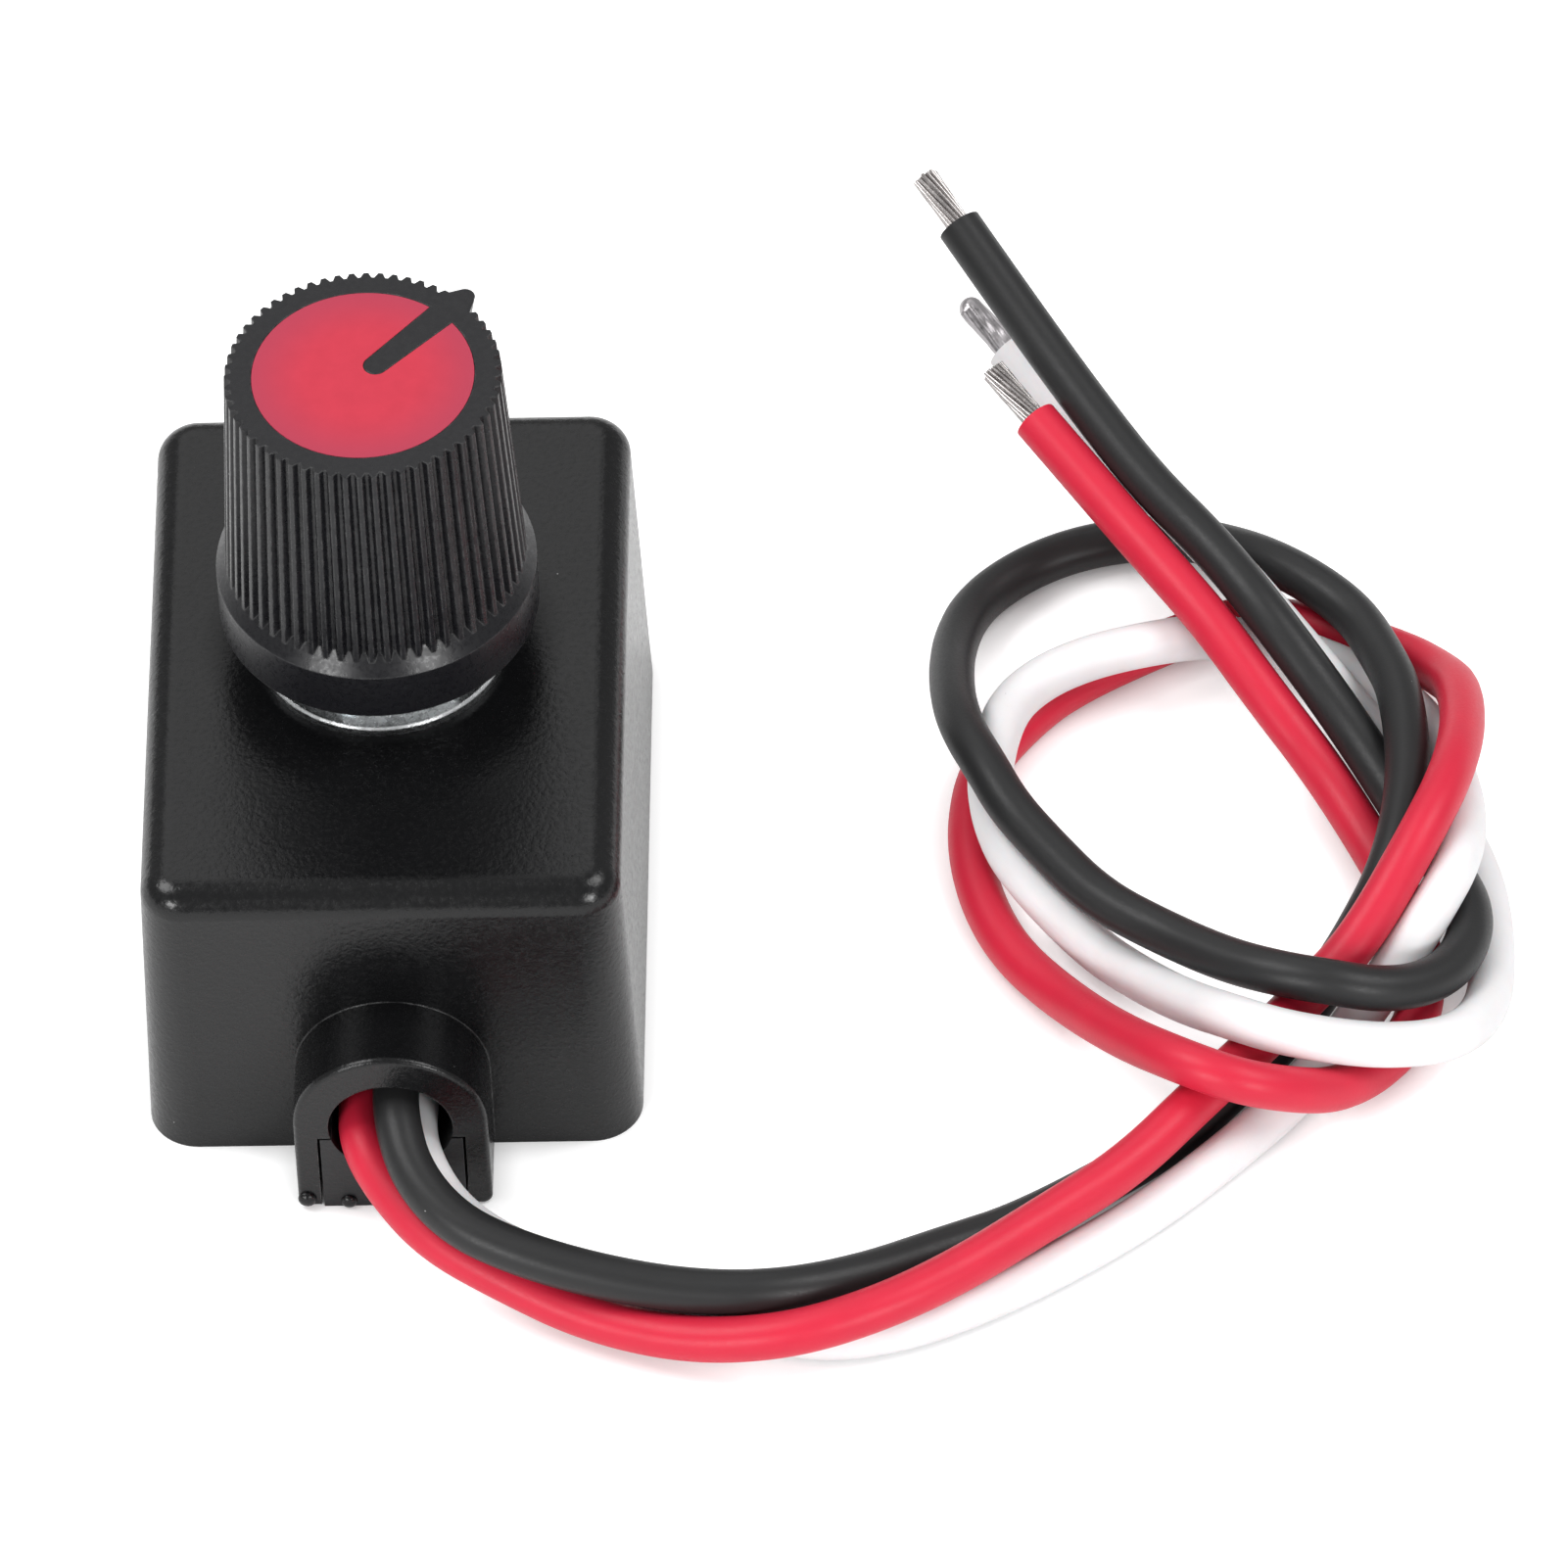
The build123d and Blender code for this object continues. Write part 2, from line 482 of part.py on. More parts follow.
# Potentiometer neck: mounting plate inside the case top and the threaded neck through it
def make_pot_bushing():
    with BuildPart() as pot_bushing:
        with BuildSketch(Plane.XY.offset(FLANGE_BOTTOM)):
            with Locations((AXIS_X, AXIS_Y)):
                Circle(FLANGE_RADIUS)
        extrude(amount=FLANGE_THICKNESS)
        with BuildSketch(Plane.XY.offset(CASE_INSIDE_TOP)):
            with Locations((AXIS_X, AXIS_Y)):
                Circle(NECK_RADIUS)
        extrude(amount=NECK_TOP - CASE_INSIDE_TOP)
        chamfer(pot_bushing.edges().group_by(Axis.Z)[-1], NECK_CHAMFER)
        with BuildSketch(Plane.XY.offset(FLANGE_BOTTOM)):
            with Locations((AXIS_X, AXIS_Y)):
                Circle(SHAFT_RADIUS + SHAFT_CLEARANCE)
        extrude(amount=NECK_TOP - FLANGE_BOTTOM, mode=Mode.SUBTRACT)
    return pot_bushing.part


# Potentiometer wafer: the insulating disc that carries the track, with a shelf for the terminals
def make_pot_wafer():
    shelf_margin = 1.2
    hole_clearance = 0.25
    with BuildPart() as pot_wafer:
        with BuildSketch(Plane.XY.offset(WAFER_BOTTOM)):
            with Locations((AXIS_X, AXIS_Y)):
                Circle(FLANGE_RADIUS)
            with Locations((AXIS_X, (AXIS_Y + TERMINAL_Y + TERMINAL_THICKNESS) / 2)):
                Rectangle(2 * (TERMINAL_PITCH + shelf_margin), TERMINAL_REACH - TERMINAL_THICKNESS)
            with Locations((AXIS_X, AXIS_Y)):
                Circle(SHAFT_RADIUS + hole_clearance, mode=Mode.SUBTRACT)
        extrude(amount=WAFER_THICKNESS)
    return pot_wafer.part


# Resistive track: a thin printed ring on the wafer's underside, open towards the terminals
def make_resistive_track():
    half_gap = (360 - TRACK_SPAN) / 2
    with BuildPart() as resistive_track:
        with BuildSketch(Plane.XY.offset(WAFER_BOTTOM - TRACK_THICKNESS)):
            with Locations((AXIS_X, AXIS_Y)):
                Circle(TRACK_OUTER)
                Circle(TRACK_INNER, mode=Mode.SUBTRACT)
            with BuildLine():
                reach = 2 * TRACK_OUTER
                corner_x = reach * sin(radians(half_gap))
                corner_y = reach * cos(radians(half_gap))
                Polyline(
                    (AXIS_X, AXIS_Y),
                    (AXIS_X - corner_x, AXIS_Y - corner_y),
                    (AXIS_X + corner_x, AXIS_Y - corner_y),
                    close=True,
                )
            make_face(mode=Mode.SUBTRACT)
        extrude(amount=TRACK_THICKNESS)
    return resistive_track.part


# Potentiometer terminals: three strips riveted under the shelf and bent down through the board
TERMINAL_STRIP = 2.2


def make_pot_terminals():
    strip_inner_end = TERMINAL_Y + TERMINAL_STRIP
    tip = BOARD_BOTTOM - LEG_BELOW
    with BuildPart() as pot_terminals:
        for index in (-1, 0, 1):
            strip_x = AXIS_X + index * TERMINAL_PITCH
            with Locations((strip_x, (TERMINAL_Y - TERMINAL_THICKNESS / 2 + strip_inner_end) / 2,
                            WAFER_BOTTOM - TERMINAL_THICKNESS / 2)):
                Box(TERMINAL_WIDTH, strip_inner_end - TERMINAL_Y + TERMINAL_THICKNESS / 2, TERMINAL_THICKNESS)
            with Locations((strip_x, TERMINAL_Y, (WAFER_BOTTOM + tip) / 2)):
                Box(TERMINAL_WIDTH, TERMINAL_THICKNESS, WAFER_BOTTOM - tip)
    return pot_terminals.part


# Potentiometer cover: a drawn metal cup around the rotor, with a window for the terminals
def make_pot_cover():
    rim = CASE_INSIDE_TOP - CUP_RIM_GAP
    window_bottom = WAFER_BOTTOM - TERMINAL_THICKNESS - 0.3
    window_width = 2 * (TERMINAL_PITCH + 1.5)
    with BuildPart() as pot_cover:
        with BuildSketch(Plane.XY.offset(CUP_BOTTOM)):
            with Locations((AXIS_X, AXIS_Y)):
                Circle(CUP_OUTER_RADIUS)
        extrude(amount=rim - CUP_BOTTOM)
        fillet(pot_cover.edges().group_by(Axis.Z)[0], CUP_CORNER)
        with BuildSketch(Plane.XY.offset(CUP_BOTTOM + CUP_WALL)):
            with Locations((AXIS_X, AXIS_Y)):
                Circle(CUP_INNER_RADIUS)
        extrude(amount=rim - CUP_BOTTOM, mode=Mode.SUBTRACT)
        with Locations((AXIS_X, AXIS_Y - CUP_OUTER_RADIUS, window_bottom)):
            Box(
                window_width, CUP_OUTER_RADIUS, rim - window_bottom + 1,
                align=(Align.CENTER, Align.CENTER, Align.MIN), mode=Mode.SUBTRACT,
            )
    return pot_cover.part


# Washer and hex nut that clamp the neck to the case top
def make_washer():
    with BuildPart() as washer:
        with BuildSketch(Plane.XY.offset(CASE_HEIGHT)):
            with Locations((AXIS_X, AXIS_Y)):
                Circle(WASHER_RADIUS)
                Circle(WASHER_HOLE_RADIUS, mode=Mode.SUBTRACT)
        extrude(amount=WASHER_THICKNESS)
        chamfer(washer.edges().group_by(Axis.Z)[-1].sort_by(SortBy.LENGTH)[-1:], WASHER_CHAMFER)
    return washer.part


def make_hex_nut():
    corner_radius = NUT_ACROSS_FLATS / 2 / cos(pi / 6)
    with BuildPart() as hex_nut:
        with BuildSketch(Plane.XY.offset(WASHER_TOP)):
            with Locations((AXIS_X, AXIS_Y)):
                RegularPolygon(corner_radius, 6, rotation=NUT_TURN)
                Circle(NECK_RADIUS + THREAD_GAP, mode=Mode.SUBTRACT)
        extrude(amount=NUT_HEIGHT)
        # The corners are turned off to a cone at both ends
        with BuildPart(mode=Mode.PRIVATE) as turned_bar:
            with BuildSketch(Plane.XY.offset(WASHER_TOP)):
                with Locations((AXIS_X, AXIS_Y)):
                    Circle(corner_radius)
            extrude(amount=NUT_HEIGHT)
            chamfer(turned_bar.edges().filter_by(GeomType.CIRCLE), NUT_CHAMFER, 2 * NUT_CHAMFER)
        add(turned_bar.part, mode=Mode.INTERSECT)
    return hex_nut.part


# Shaft: pressed into the rotor below, split at the top where the knob grips it
def make_pot_shaft():
    with BuildPart() as pot_shaft:
        with BuildSketch(Plane.XY.offset(ROTOR_BOTTOM)):
            with Locations((AXIS_X, AXIS_Y)):
                Circle(SHAFT_RADIUS)
        extrude(amount=SHAFT_TOP - ROTOR_BOTTOM)
        with BuildSketch(Plane.XY.offset(CLIP_BOTTOM)):
            with Locations((AXIS_X, AXIS_Y)):
                Circle(2 * SHAFT_RADIUS)
                Circle(CLIP_GROOVE, mode=Mode.SUBTRACT)
        extrude(amount=CLIP_THICKNESS, mode=Mode.SUBTRACT)
        with Locations((AXIS_X, AXIS_Y, SHAFT_TOP)):
            Box(
                3 * SHAFT_RADIUS, SLOT_WIDTH, SLOT_DEPTH,
                align=(Align.CENTER, Align.CENTER, Align.MAX), mode=Mode.SUBTRACT,
            )
    return pot_shaft.part


# Shaft clip: an open spring ring in the shaft's groove, above the neck
def make_shaft_clip():
    with BuildPart() as shaft_clip:
        with BuildSketch(Plane.XY.offset(CLIP_BOTTOM)):
            with Locations((AXIS_X, AXIS_Y)):
                Circle(CLIP_OUTER)
                Circle(CLIP_GROOVE, mode=Mode.SUBTRACT)
            with Locations((AXIS_X + CLIP_OUTER, AXIS_Y)):
                Rectangle(2 * CLIP_OUTER, 1.6 * CLIP_GROOVE, mode=Mode.SUBTRACT)
        extrude(amount=CLIP_THICKNESS)
    return shaft_clip.part


# Wiper rotor and its spring contact, which sweep the track
def make_wiper_rotor():
    with BuildPart() as wiper_rotor:
        with BuildSketch(Plane.XY.offset(ROTOR_BOTTOM)):
            with Locations((AXIS_X, AXIS_Y)):
                Circle(ROTOR_RADIUS)
                Circle(SHAFT_RADIUS, mode=Mode.SUBTRACT)
        extrude(amount=ROTOR_TOP - ROTOR_BOTTOM)
    return wiper_rotor.part


def make_wiper_contact():
    ring_inner = SHAFT_RADIUS + 0.2
    ring_outer = SHAFT_RADIUS + 1.2
    finger_width = 1.2
    finger_start = (ring_inner + ring_outer) / 2
    finger_end = TRACK_OUTER - 0.1
    with BuildPart() as wiper_contact:
        with BuildSketch(Plane.XY.offset(ROTOR_TOP)):
            with Locations((AXIS_X, AXIS_Y)):
                Circle(ring_outer)
                Circle(ring_inner, mode=Mode.SUBTRACT)
            with Locations((AXIS_X, AXIS_Y + (finger_start + finger_end) / 2)):
                Rectangle(finger_width, finger_end - finger_start)
        extrude(amount=CONTACT_THICKNESS)
    return wiper_contact.part


# Knob: ribbed grip over a plain skirt, hub on the split shaft, pointer bar and nose in the top
def rib_outline(tip_radius):
    """Corners of the ribbed outline: each rib has a narrow crest and a narrow root."""
    points = []
    pitch = 2 * pi / RIB_COUNT
    for rib in range(RIB_COUNT):
        for share, radius in (
            (-0.16, tip_radius),
            (0.16, tip_radius),
            (0.40, tip_radius - RIB_DEPTH),
            (0.60, tip_radius - RIB_DEPTH),
        ):
            angle = (rib + share) * pitch
            points.append((AXIS_X + radius * cos(angle), AXIS_Y + radius * sin(angle)))
    return points


def make_knob_shell():
    with BuildPart() as knob_shell:
        # Plain skirt and a sloping shoulder, out of which the feet of the ribs come up in points
        with BuildSketch(Plane.XY.offset(KNOB_BOTTOM)):
            with Locations((AXIS_X, AXIS_Y)):
                Circle(SKIRT_RADIUS)
        extrude(amount=SKIRT_HEIGHT)
        with BuildSketch(Plane.XY.offset(SKIRT_TOP)):
            with Locations((AXIS_X, AXIS_Y)):
                Circle(SKIRT_RADIUS)
        extrude(amount=SHOULDER_HEIGHT, taper=degrees(atan(SHOULDER_RUN / SHOULDER_HEIGHT)))
        # Ribbed grip, narrower towards the top
        for height, radius in ((SKIRT_TOP, RIB_FOOT_RADIUS), (KNOB_TOP, RIB_TOP_RADIUS)):
            with BuildSketch(Plane.XY.offset(height)):
                with BuildLine():
                    Polyline(*rib_outline(radius), close=True)
                make_face()
        loft()
        # Nose at the rim, which leans back into the ribs below
        for height, reach in ((KNOB_TOP - NOSE_HEIGHT, RIB_TOP_RADIUS), (KNOB_TOP, NOSE_REACH)):
            tip_left = along_pointer(reach - NOSE_ROUNDING, NOSE_TIP_WIDTH / 2)
            tip_right = along_pointer(reach - NOSE_ROUNDING, -NOSE_TIP_WIDTH / 2)
            root_left = along_pointer(NOSE_ROOT_REACH, NOSE_ROOT_WIDTH / 2)
            root_right = along_pointer(NOSE_ROOT_REACH, -NOSE_ROOT_WIDTH / 2)
            with BuildSketch(Plane.XY.offset(height)):
                with BuildLine():
                    Line(root_left, tip_left)
                    ThreePointArc(tip_left, along_pointer(reach, 0), tip_right)
                    Line(tip_right, root_right)
                    Line(root_right, root_left)
                make_face()
        loft()
        # Recess for the coloured disc, with the pointer bar left standing in it
        with BuildSketch(Plane.XY.offset(DISC_BOTTOM)):
            with Locations((AXIS_X, AXIS_Y)):
                Circle(DISC_RADIUS)
        extrude(amount=DISC_THICKNESS, mode=Mode.SUBTRACT)
        with BuildSketch(Plane.XY.offset(DISC_BOTTOM)):
            add(pointer_bar(0))
        extrude(amount=DISC_THICKNESS)
        # Hollow under the grip, with the hub left in the middle
        with BuildSketch(Plane.XY.offset(KNOB_BOTTOM)):
            with Locations((AXIS_X, AXIS_Y)):
                Circle(KNOB_INNER_RADIUS)
        extrude(amount=KNOB_HOLLOW_TOP - KNOB_BOTTOM, mode=Mode.SUBTRACT)
        with BuildSketch(Plane.XY.offset(KNOB_BOTTOM + HUB_RECESS)):
            with Locations((AXIS_X, AXIS_Y)):
                Circle(HUB_RADIUS)
                Circle(SHAFT_RADIUS, mode=Mode.SUBTRACT)
        extrude(amount=KNOB_HOLLOW_TOP - KNOB_BOTTOM - HUB_RECESS)
        with BuildSketch(Plane.XY.offset(KNOB_HOLLOW_TOP)):
            with Locations((AXIS_X, AXIS_Y)):
                Circle(SHAFT_RADIUS)
        extrude(amount=SHAFT_TOP - KNOB_HOLLOW_TOP, mode=Mode.SUBTRACT)
    return knob_shell.part


def pointer_bar(gap):
    """The bar's outline, rounded at its inner end and wider towards the rim, grown by gap all round."""
    inner = POINTER_INNER_WIDTH / 2 + gap
    outer = POINTER_OUTER_WIDTH / 2 + gap
    with BuildSketch(mode=Mode.PRIVATE) as bar:
        with BuildLine():
            Polyline(
                along_pointer(POINTER_START, inner),
                along_pointer(POINTER_END, outer),
                along_pointer(POINTER_END, -outer),
                along_pointer(POINTER_START, -inner),
            )
            ThreePointArc(
                along_pointer(POINTER_START, -inner),
                along_pointer(POINTER_START - inner, 0),
                along_pointer(POINTER_START, inner),
            )
        make_face()
    return bar.sketch


def make_knob_disc():
    with BuildPart() as knob_disc:
        with BuildSketch(Plane.XY.offset(DISC_BOTTOM)):
            with Locations((AXIS_X, AXIS_Y)):
                Circle(DISC_RADIUS - DISC_GAP)
            add(pointer_bar(DISC_GAP), mode=Mode.SUBTRACT)
        extrude(amount=DISC_THICKNESS)
    return knob_disc.part


# Leads: straight runs joined by tangent arcs, each arc as large as its two runs allow
def route_radii(name, route):
    share_of_run = 0.45
    points = [Vector(*point) for point in route]
    radii = []
    for before, corner, after in zip(points, points[1:], points[2:]):
        arriving = corner - before
        leaving = after - corner
        half_turn = radians(arriving.get_angle(leaving)) / 2
        radii.append(share_of_run * min(arriving.length, leaving.length) / tan(half_turn))
    print(f"{name} radii: smallest {min(radii):.1f} mm,", " ".join(f"{radius:.0f}" for radius in radii))
    return radii


def make_lead(name, route):
    with BuildPart() as lead:
        with BuildLine() as path:
            FilletPolyline(*route, radius=route_radii(name, route))
        start = Vector(*route[0])
        with BuildSketch(Plane(origin=start, z_dir=Vector(*route[1]) - start)):
            Circle(LEAD_DIAMETER / 2)
        sweep(path=path.line)
    length = sum(edge.length for edge in path.edges())
    share = lead.part.volume / (pi * (LEAD_DIAMETER / 2) ** 2 * length)
    lowest = lead.part.bounding_box().min.Z
    print(f"{name}: length {length:.1f} mm, volume over section x length {share:.4f}, lowest {lowest:.2f}")
    return lead.part


# Stripped core: the twisted strands that stand out of a lead's cut end
def make_core(route, length):
    end = Vector(*route[-1])
    with BuildPart() as core:
        with BuildSketch(Plane(origin=end, z_dir=end - Vector(*route[-2]))):
            Circle(CORE_RADIUS)
        extrude(amount=length)
    return core.part


save(make_case_shell(), "case_shell")
save(make_bottom_cover(), "bottom_cover")
save(make_circuit_board(), "circuit_board")
save(make_capacitor(), "electrolytic_capacitor")
save(make_diode(), "flyback_diode")
save(make_power_transistor(), "power_transistor")
save(make_timer_chip(), "timer_chip")
save(make_chip_resistors(), "chip_resistors")
save(make_chip_capacitors(), "chip_capacitors")
save(make_solder_joints(), "solder_joints")
save(make_pot_bushing(), "pot_bushing")
save(make_pot_wafer(), "pot_wafer")
save(make_resistive_track(), "resistive_track")
save(make_pot_terminals(), "pot_terminals")
save(make_pot_cover(), "pot_cover")
save(make_washer(), "washer")
save(make_hex_nut(), "hex_nut")
save(make_pot_shaft(), "pot_shaft")
save(make_shaft_clip(), "shaft_clip")
save(make_wiper_rotor(), "wiper_rotor")
save(make_wiper_contact(), "wiper_contact")
save(make_knob_shell(), "knob_shell")
save(make_knob_disc(), "knob_disc")
save(make_lead("red_lead", RED_ROUTE), "red_lead")
save(make_lead("black_lead", BLACK_ROUTE), "black_lead")
save(make_lead("white_lead", WHITE_ROUTE), "white_lead")
save(make_core(RED_ROUTE, RED_CORE_LENGTH), "red_core")
save(make_core(BLACK_ROUTE, BLACK_CORE_LENGTH), "black_core")
save(make_core(WHITE_ROUTE, WHITE_CORE_LENGTH), "white_core")
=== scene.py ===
# %% [markdown]
# # A rotary dimmer, lying on white with its three loose leads
#
# A small box-shaped dimmer for low-voltage lighting. The CAD model gives every hard piece its shape and
# place. This script adds what the eye reads from a step away and closer: the camera and light of the
# photograph, silicone leads that lie over each other, fine copper strands, and plastic with grain, dust and
# worn edges. Everything is in metres, in the same frame as the CAD model.

from math import cos, pi, radians, sin

import bmesh
import bpy
from mathutils import Matrix, Vector, noise


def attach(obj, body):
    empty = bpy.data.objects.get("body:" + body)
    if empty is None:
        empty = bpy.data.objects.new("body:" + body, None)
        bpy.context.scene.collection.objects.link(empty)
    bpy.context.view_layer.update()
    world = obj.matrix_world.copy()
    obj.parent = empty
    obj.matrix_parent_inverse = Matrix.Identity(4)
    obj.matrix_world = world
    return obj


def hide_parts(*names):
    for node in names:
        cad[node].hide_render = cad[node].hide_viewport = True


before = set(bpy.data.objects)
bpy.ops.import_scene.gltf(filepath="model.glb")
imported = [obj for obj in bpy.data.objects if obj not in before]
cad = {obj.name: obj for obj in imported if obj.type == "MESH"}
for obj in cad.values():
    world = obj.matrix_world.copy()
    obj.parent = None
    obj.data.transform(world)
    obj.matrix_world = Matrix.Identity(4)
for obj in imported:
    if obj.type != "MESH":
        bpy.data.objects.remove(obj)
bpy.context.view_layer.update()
scene = bpy.context.scene
MM = 0.001

# %% [markdown]
# ## Camera
#
# The leads are equally thick near and far in the photograph, so it was taken from far away with a long
# lens. The camera looks down at about 48 degrees, almost straight along +Y, and is rolled by 3 degrees.
# The image is square, so a 36 mm sensor with this lens gives the same picture at any resolution.

# %% Camera
CAMERA_PLACE = Vector((61.642, -780.017, 886.123)) * MM
CAMERA_YAW = radians(-3.099)
CAMERA_PITCH = radians(48.358)
CAMERA_ROLL = radians(-3.198)
SENSOR = 36.0
FOCAL_PIXELS = 24000.0
IMAGE_PIXELS = 1601.0

camera_data = bpy.data.cameras.new("camera")
camera_data.sensor_width = SENSOR
camera_data.lens = SENSOR * FOCAL_PIXELS / IMAGE_PIXELS
camera_data.clip_start = 0.1
camera_data.clip_end = 10.0
camera = bpy.data.objects.new("camera", camera_data)
camera.matrix_world = (
    Matrix.Translation(CAMERA_PLACE)
    @ Matrix.Rotation(-CAMERA_YAW, 4, "Z")
    @ Matrix.Rotation(pi / 2 - CAMERA_PITCH, 4, "X")
    @ Matrix.Rotation(CAMERA_ROLL, 4, "Z")
)
scene.collection.objects.link(camera)
scene.camera = camera
print("lens", round(camera_data.lens, 1), "mm")

# %% [markdown]
# ## Lead routes
#
# The three leads are 18-gauge silicone wire: very soft, so they fall in slack loops and keep no spring.
# Each route was read off the photograph point by point and then given heights, so that every crossing
# goes over or under as it does there. They are the same points as in the CAD model. A NURBS curve of
# order 3 through them touches the middle of each run, just as the CAD tube does.

# %% Lead routes
LEAD_DIAMETER = 2.3 * MM
ROUTES = {
    "red": [
        (-2.3, -13.7, 5.0), (-1.6, -15.6, 5.25), (-1.4, -18.2, 5.2), (-1.4, -20.9, 4.9), (-0.1, -23.1, 3.9),
        (2.2, -25.7, 2.95), (5.8, -27.8, 2.3), (9.8, -29.7, 1.5), (14.7, -31.6, 1.9), (19.6, -32.5, 3.15),
        (24.0, -31.3, 3.6), (28.1, -28.9, 3.6), (32.8, -25.0, 3.4), (36.6, -22.1, 3.6), (40.1, -17.8, 3.7),
        (43.1, -14.2, 3.7), (45.5, -11.2, 3.8), (48.2, -8.7, 5.05), (51.4, -3.7, 7.7), (52.8, 0.2, 7.4),
        (53.4, 4.8, 5.7), (53.2, 9.1, 3.8), (52.2, 11.6, 2.2), (50.2, 13.9, 1.3), (45.0, 16.2, 1.2),
        (41.9, 16.4, 1.2), (38.8, 15.2, 1.2), (33.4, 12.0, 1.2), (31.0, 9.5, 1.2), (29.0, 6.4, 1.2),
        (28.4, 2.4, 1.2), (28.9, -1.8, 1.2), (30.5, -5.8, 1.2), (33.2, -9.4, 1.7), (36.2, -13.9, 4.0),
        (39.2, -17.5, 6.2), (42.0, -18.8, 6.1), (44.5, -18.3, 4.8), (46.7, -16.8, 2.9), (48.6, -14.5, 1.5),
        (50.3, -12.2, 1.2), (51.1, -10.0, 1.2), (51.2, -7.1, 1.2), (50.5, -3.5, 1.2), (48.6, 1.1, 1.2),
        (46.2, 5.3, 2.2), (43.4, 8.5, 4.2), (40.8, 12.1, 5.7), (38.0, 15.8, 6.4), (35.2, 19.4, 7.3),
        (31.9, 23.4, 8.7),
    ],
    "black": [
        (0.1, -13.7, 6.4), (0.1, -15.8, 7.0), (0.4, -18.3, 7.0), (0.4, -21.0, 6.9), (1.2, -24.0, 6.0),
        (3.3, -26.5, 5.15), (6.4, -28.0, 4.6), (10.4, -29.1, 4.0), (14.8, -29.8, 3.55), (19.1, -30.0, 3.6),
        (23.4, -28.2, 2.6), (27.5, -25.5, 1.5), (31.6, -23.6, 1.2), (38.6, -18.7, 1.2), (41.6, -15.1, 1.2),
        (44.5, -11.5, 1.2), (46.5, -8.3, 1.7), (47.9, -6.3, 2.6), (49.8, -3.2, 4.35), (50.7, 2.0, 5.1),
        (50.3, 8.0, 4.7), (49.3, 11.1, 4.2), (48.0, 14.2, 3.8), (45.8, 16.5, 3.8), (43.4, 18.7, 3.2),
        (41.2, 20.6, 2.1), (39.0, 21.8, 1.4), (36.3, 21.9, 1.2), (33.4, 21.2, 1.2), (30.7, 19.7, 1.2),
        (28.5, 17.2, 1.5), (27.6, 13.5, 2.6), (27.6, 9.0, 4.4), (28.2, 5.2, 5.75), (29.4, 2.3, 6.2),
        (30.6, -0.2, 5.9), (32.4, -2.3, 5.2), (35.0, -5.1, 4.4), (38.2, -7.4, 4.4), (41.4, -10.1, 5.3),
        (44.2, -11.9, 6.2), (46.8, -12.6, 6.3), (49.0, -12.5, 5.6), (51.1, -11.5, 4.7), (52.8, -9.7, 4.0),
        (53.7, -7.2, 3.7), (53.5, -4.6, 3.3), (52.4, -2.0, 2.8), (50.8, 1.1, 2.45), (47.6, 7.1, 3.5),
        (43.4, 12.2, 6.6), (40.7, 16.4, 6.9), (37.6, 19.8, 7.8), (34.8, 23.6, 9.0), (31.4, 28.5, 10.7),
        (28.1, 33.1, 12.8),
    ],
    "white": [
        (2.4, -13.7, 4.9), (1.4, -15.6, 4.65), (1.2, -18.2, 4.4), (1.2, -20.8, 4.4), (2.5, -22.8, 2.6),
        (4.7, -24.5, 1.65), (8.3, -26.3, 1.25), (12.2, -28.0, 1.2), (16.1, -29.4, 1.2), (21.0, -31.1, 1.2),
        (25.3, -30.5, 1.2), (29.7, -28.5, 1.2), (34.0, -25.8, 1.2), (37.9, -22.8, 1.2), (41.3, -19.5, 1.2),
        (44.4, -16.1, 1.2), (46.8, -12.7, 1.3), (48.7, -10.3, 2.4), (50.4, -8.6, 4.05), (52.0, -6.6, 5.5),
        (53.2, -3.9, 5.75), (53.4, -0.5, 4.9), (53.0, 3.0, 3.75), (52.1, 6.5, 2.7), (50.8, 9.7, 1.6),
        (49.0, 11.8, 1.2), (46.8, 12.8, 1.6), (44.7, 13.7, 1.83), (42.4, 14.0, 2.2), (40.1, 13.7, 2.9),
        (37.4, 12.7, 3.5), (34.6, 11.8, 3.6), (32.2, 10.5, 3.6), (30.5, 8.6, 3.6), (29.8, 6.1, 3.55),
        (29.5, 3.3, 3.6), (29.9, 0.5, 3.5), (31.0, -2.2, 3.2), (34.6, -5.9, 1.6), (37.1, -8.7, 2.3),
        (39.4, -11.9, 4.2), (41.8, -14.6, 6.1), (44.4, -15.8, 6.2), (48.0, -15.4, 4.8), (50.6, -14.7, 3.9),
        (52.5, -13.9, 3.4), (53.8, -12.4, 2.8), (54.5, -10.1, 1.9), (54.7, -7.4, 1.3), (54.6, -4.5, 1.2),
        (54.2, -1.6, 1.2), (53.1, 1.6, 1.2), (51.0, 4.4, 1.2), (48.9, 8.2, 1.3), (44.9, 12.2, 4.0),
        (42.8, 15.0, 4.65), (40.5, 18.8, 4.3), (38.0, 22.6, 3.9), (35.7, 25.6, 4.4), (32.9, 27.6, 5.2),
        (30.4, 30.4, 6.4),
    ],
}
print("route points:", {name: len(route) for name, route in ROUTES.items()})

# %% [markdown]
# ## Leads
#
# A lead could be a swept mesh, but a curve with a round bevel stays one smooth skin of insulation and is
# easy to bend again. It is open and closed by caps at its ends. A spline needs its order set after its
# points exist.

# %% Curves
LEAD_ROUNDNESS = 10
LEAD_STEPS = 10
SPLINE_ORDER = 3


def new_curve(name, radius, roundness):
    """An empty curve object with a round section of that radius in metres, closed at its ends."""
    data = bpy.data.curves.new(name, "CURVE")
    data.dimensions = "3D"
    data.bevel_depth = radius
    data.bevel_resolution = roundness
    data.use_fill_caps = True
    obj = bpy.data.objects.new(name, data)
    scene.collection.objects.link(obj)
    return obj


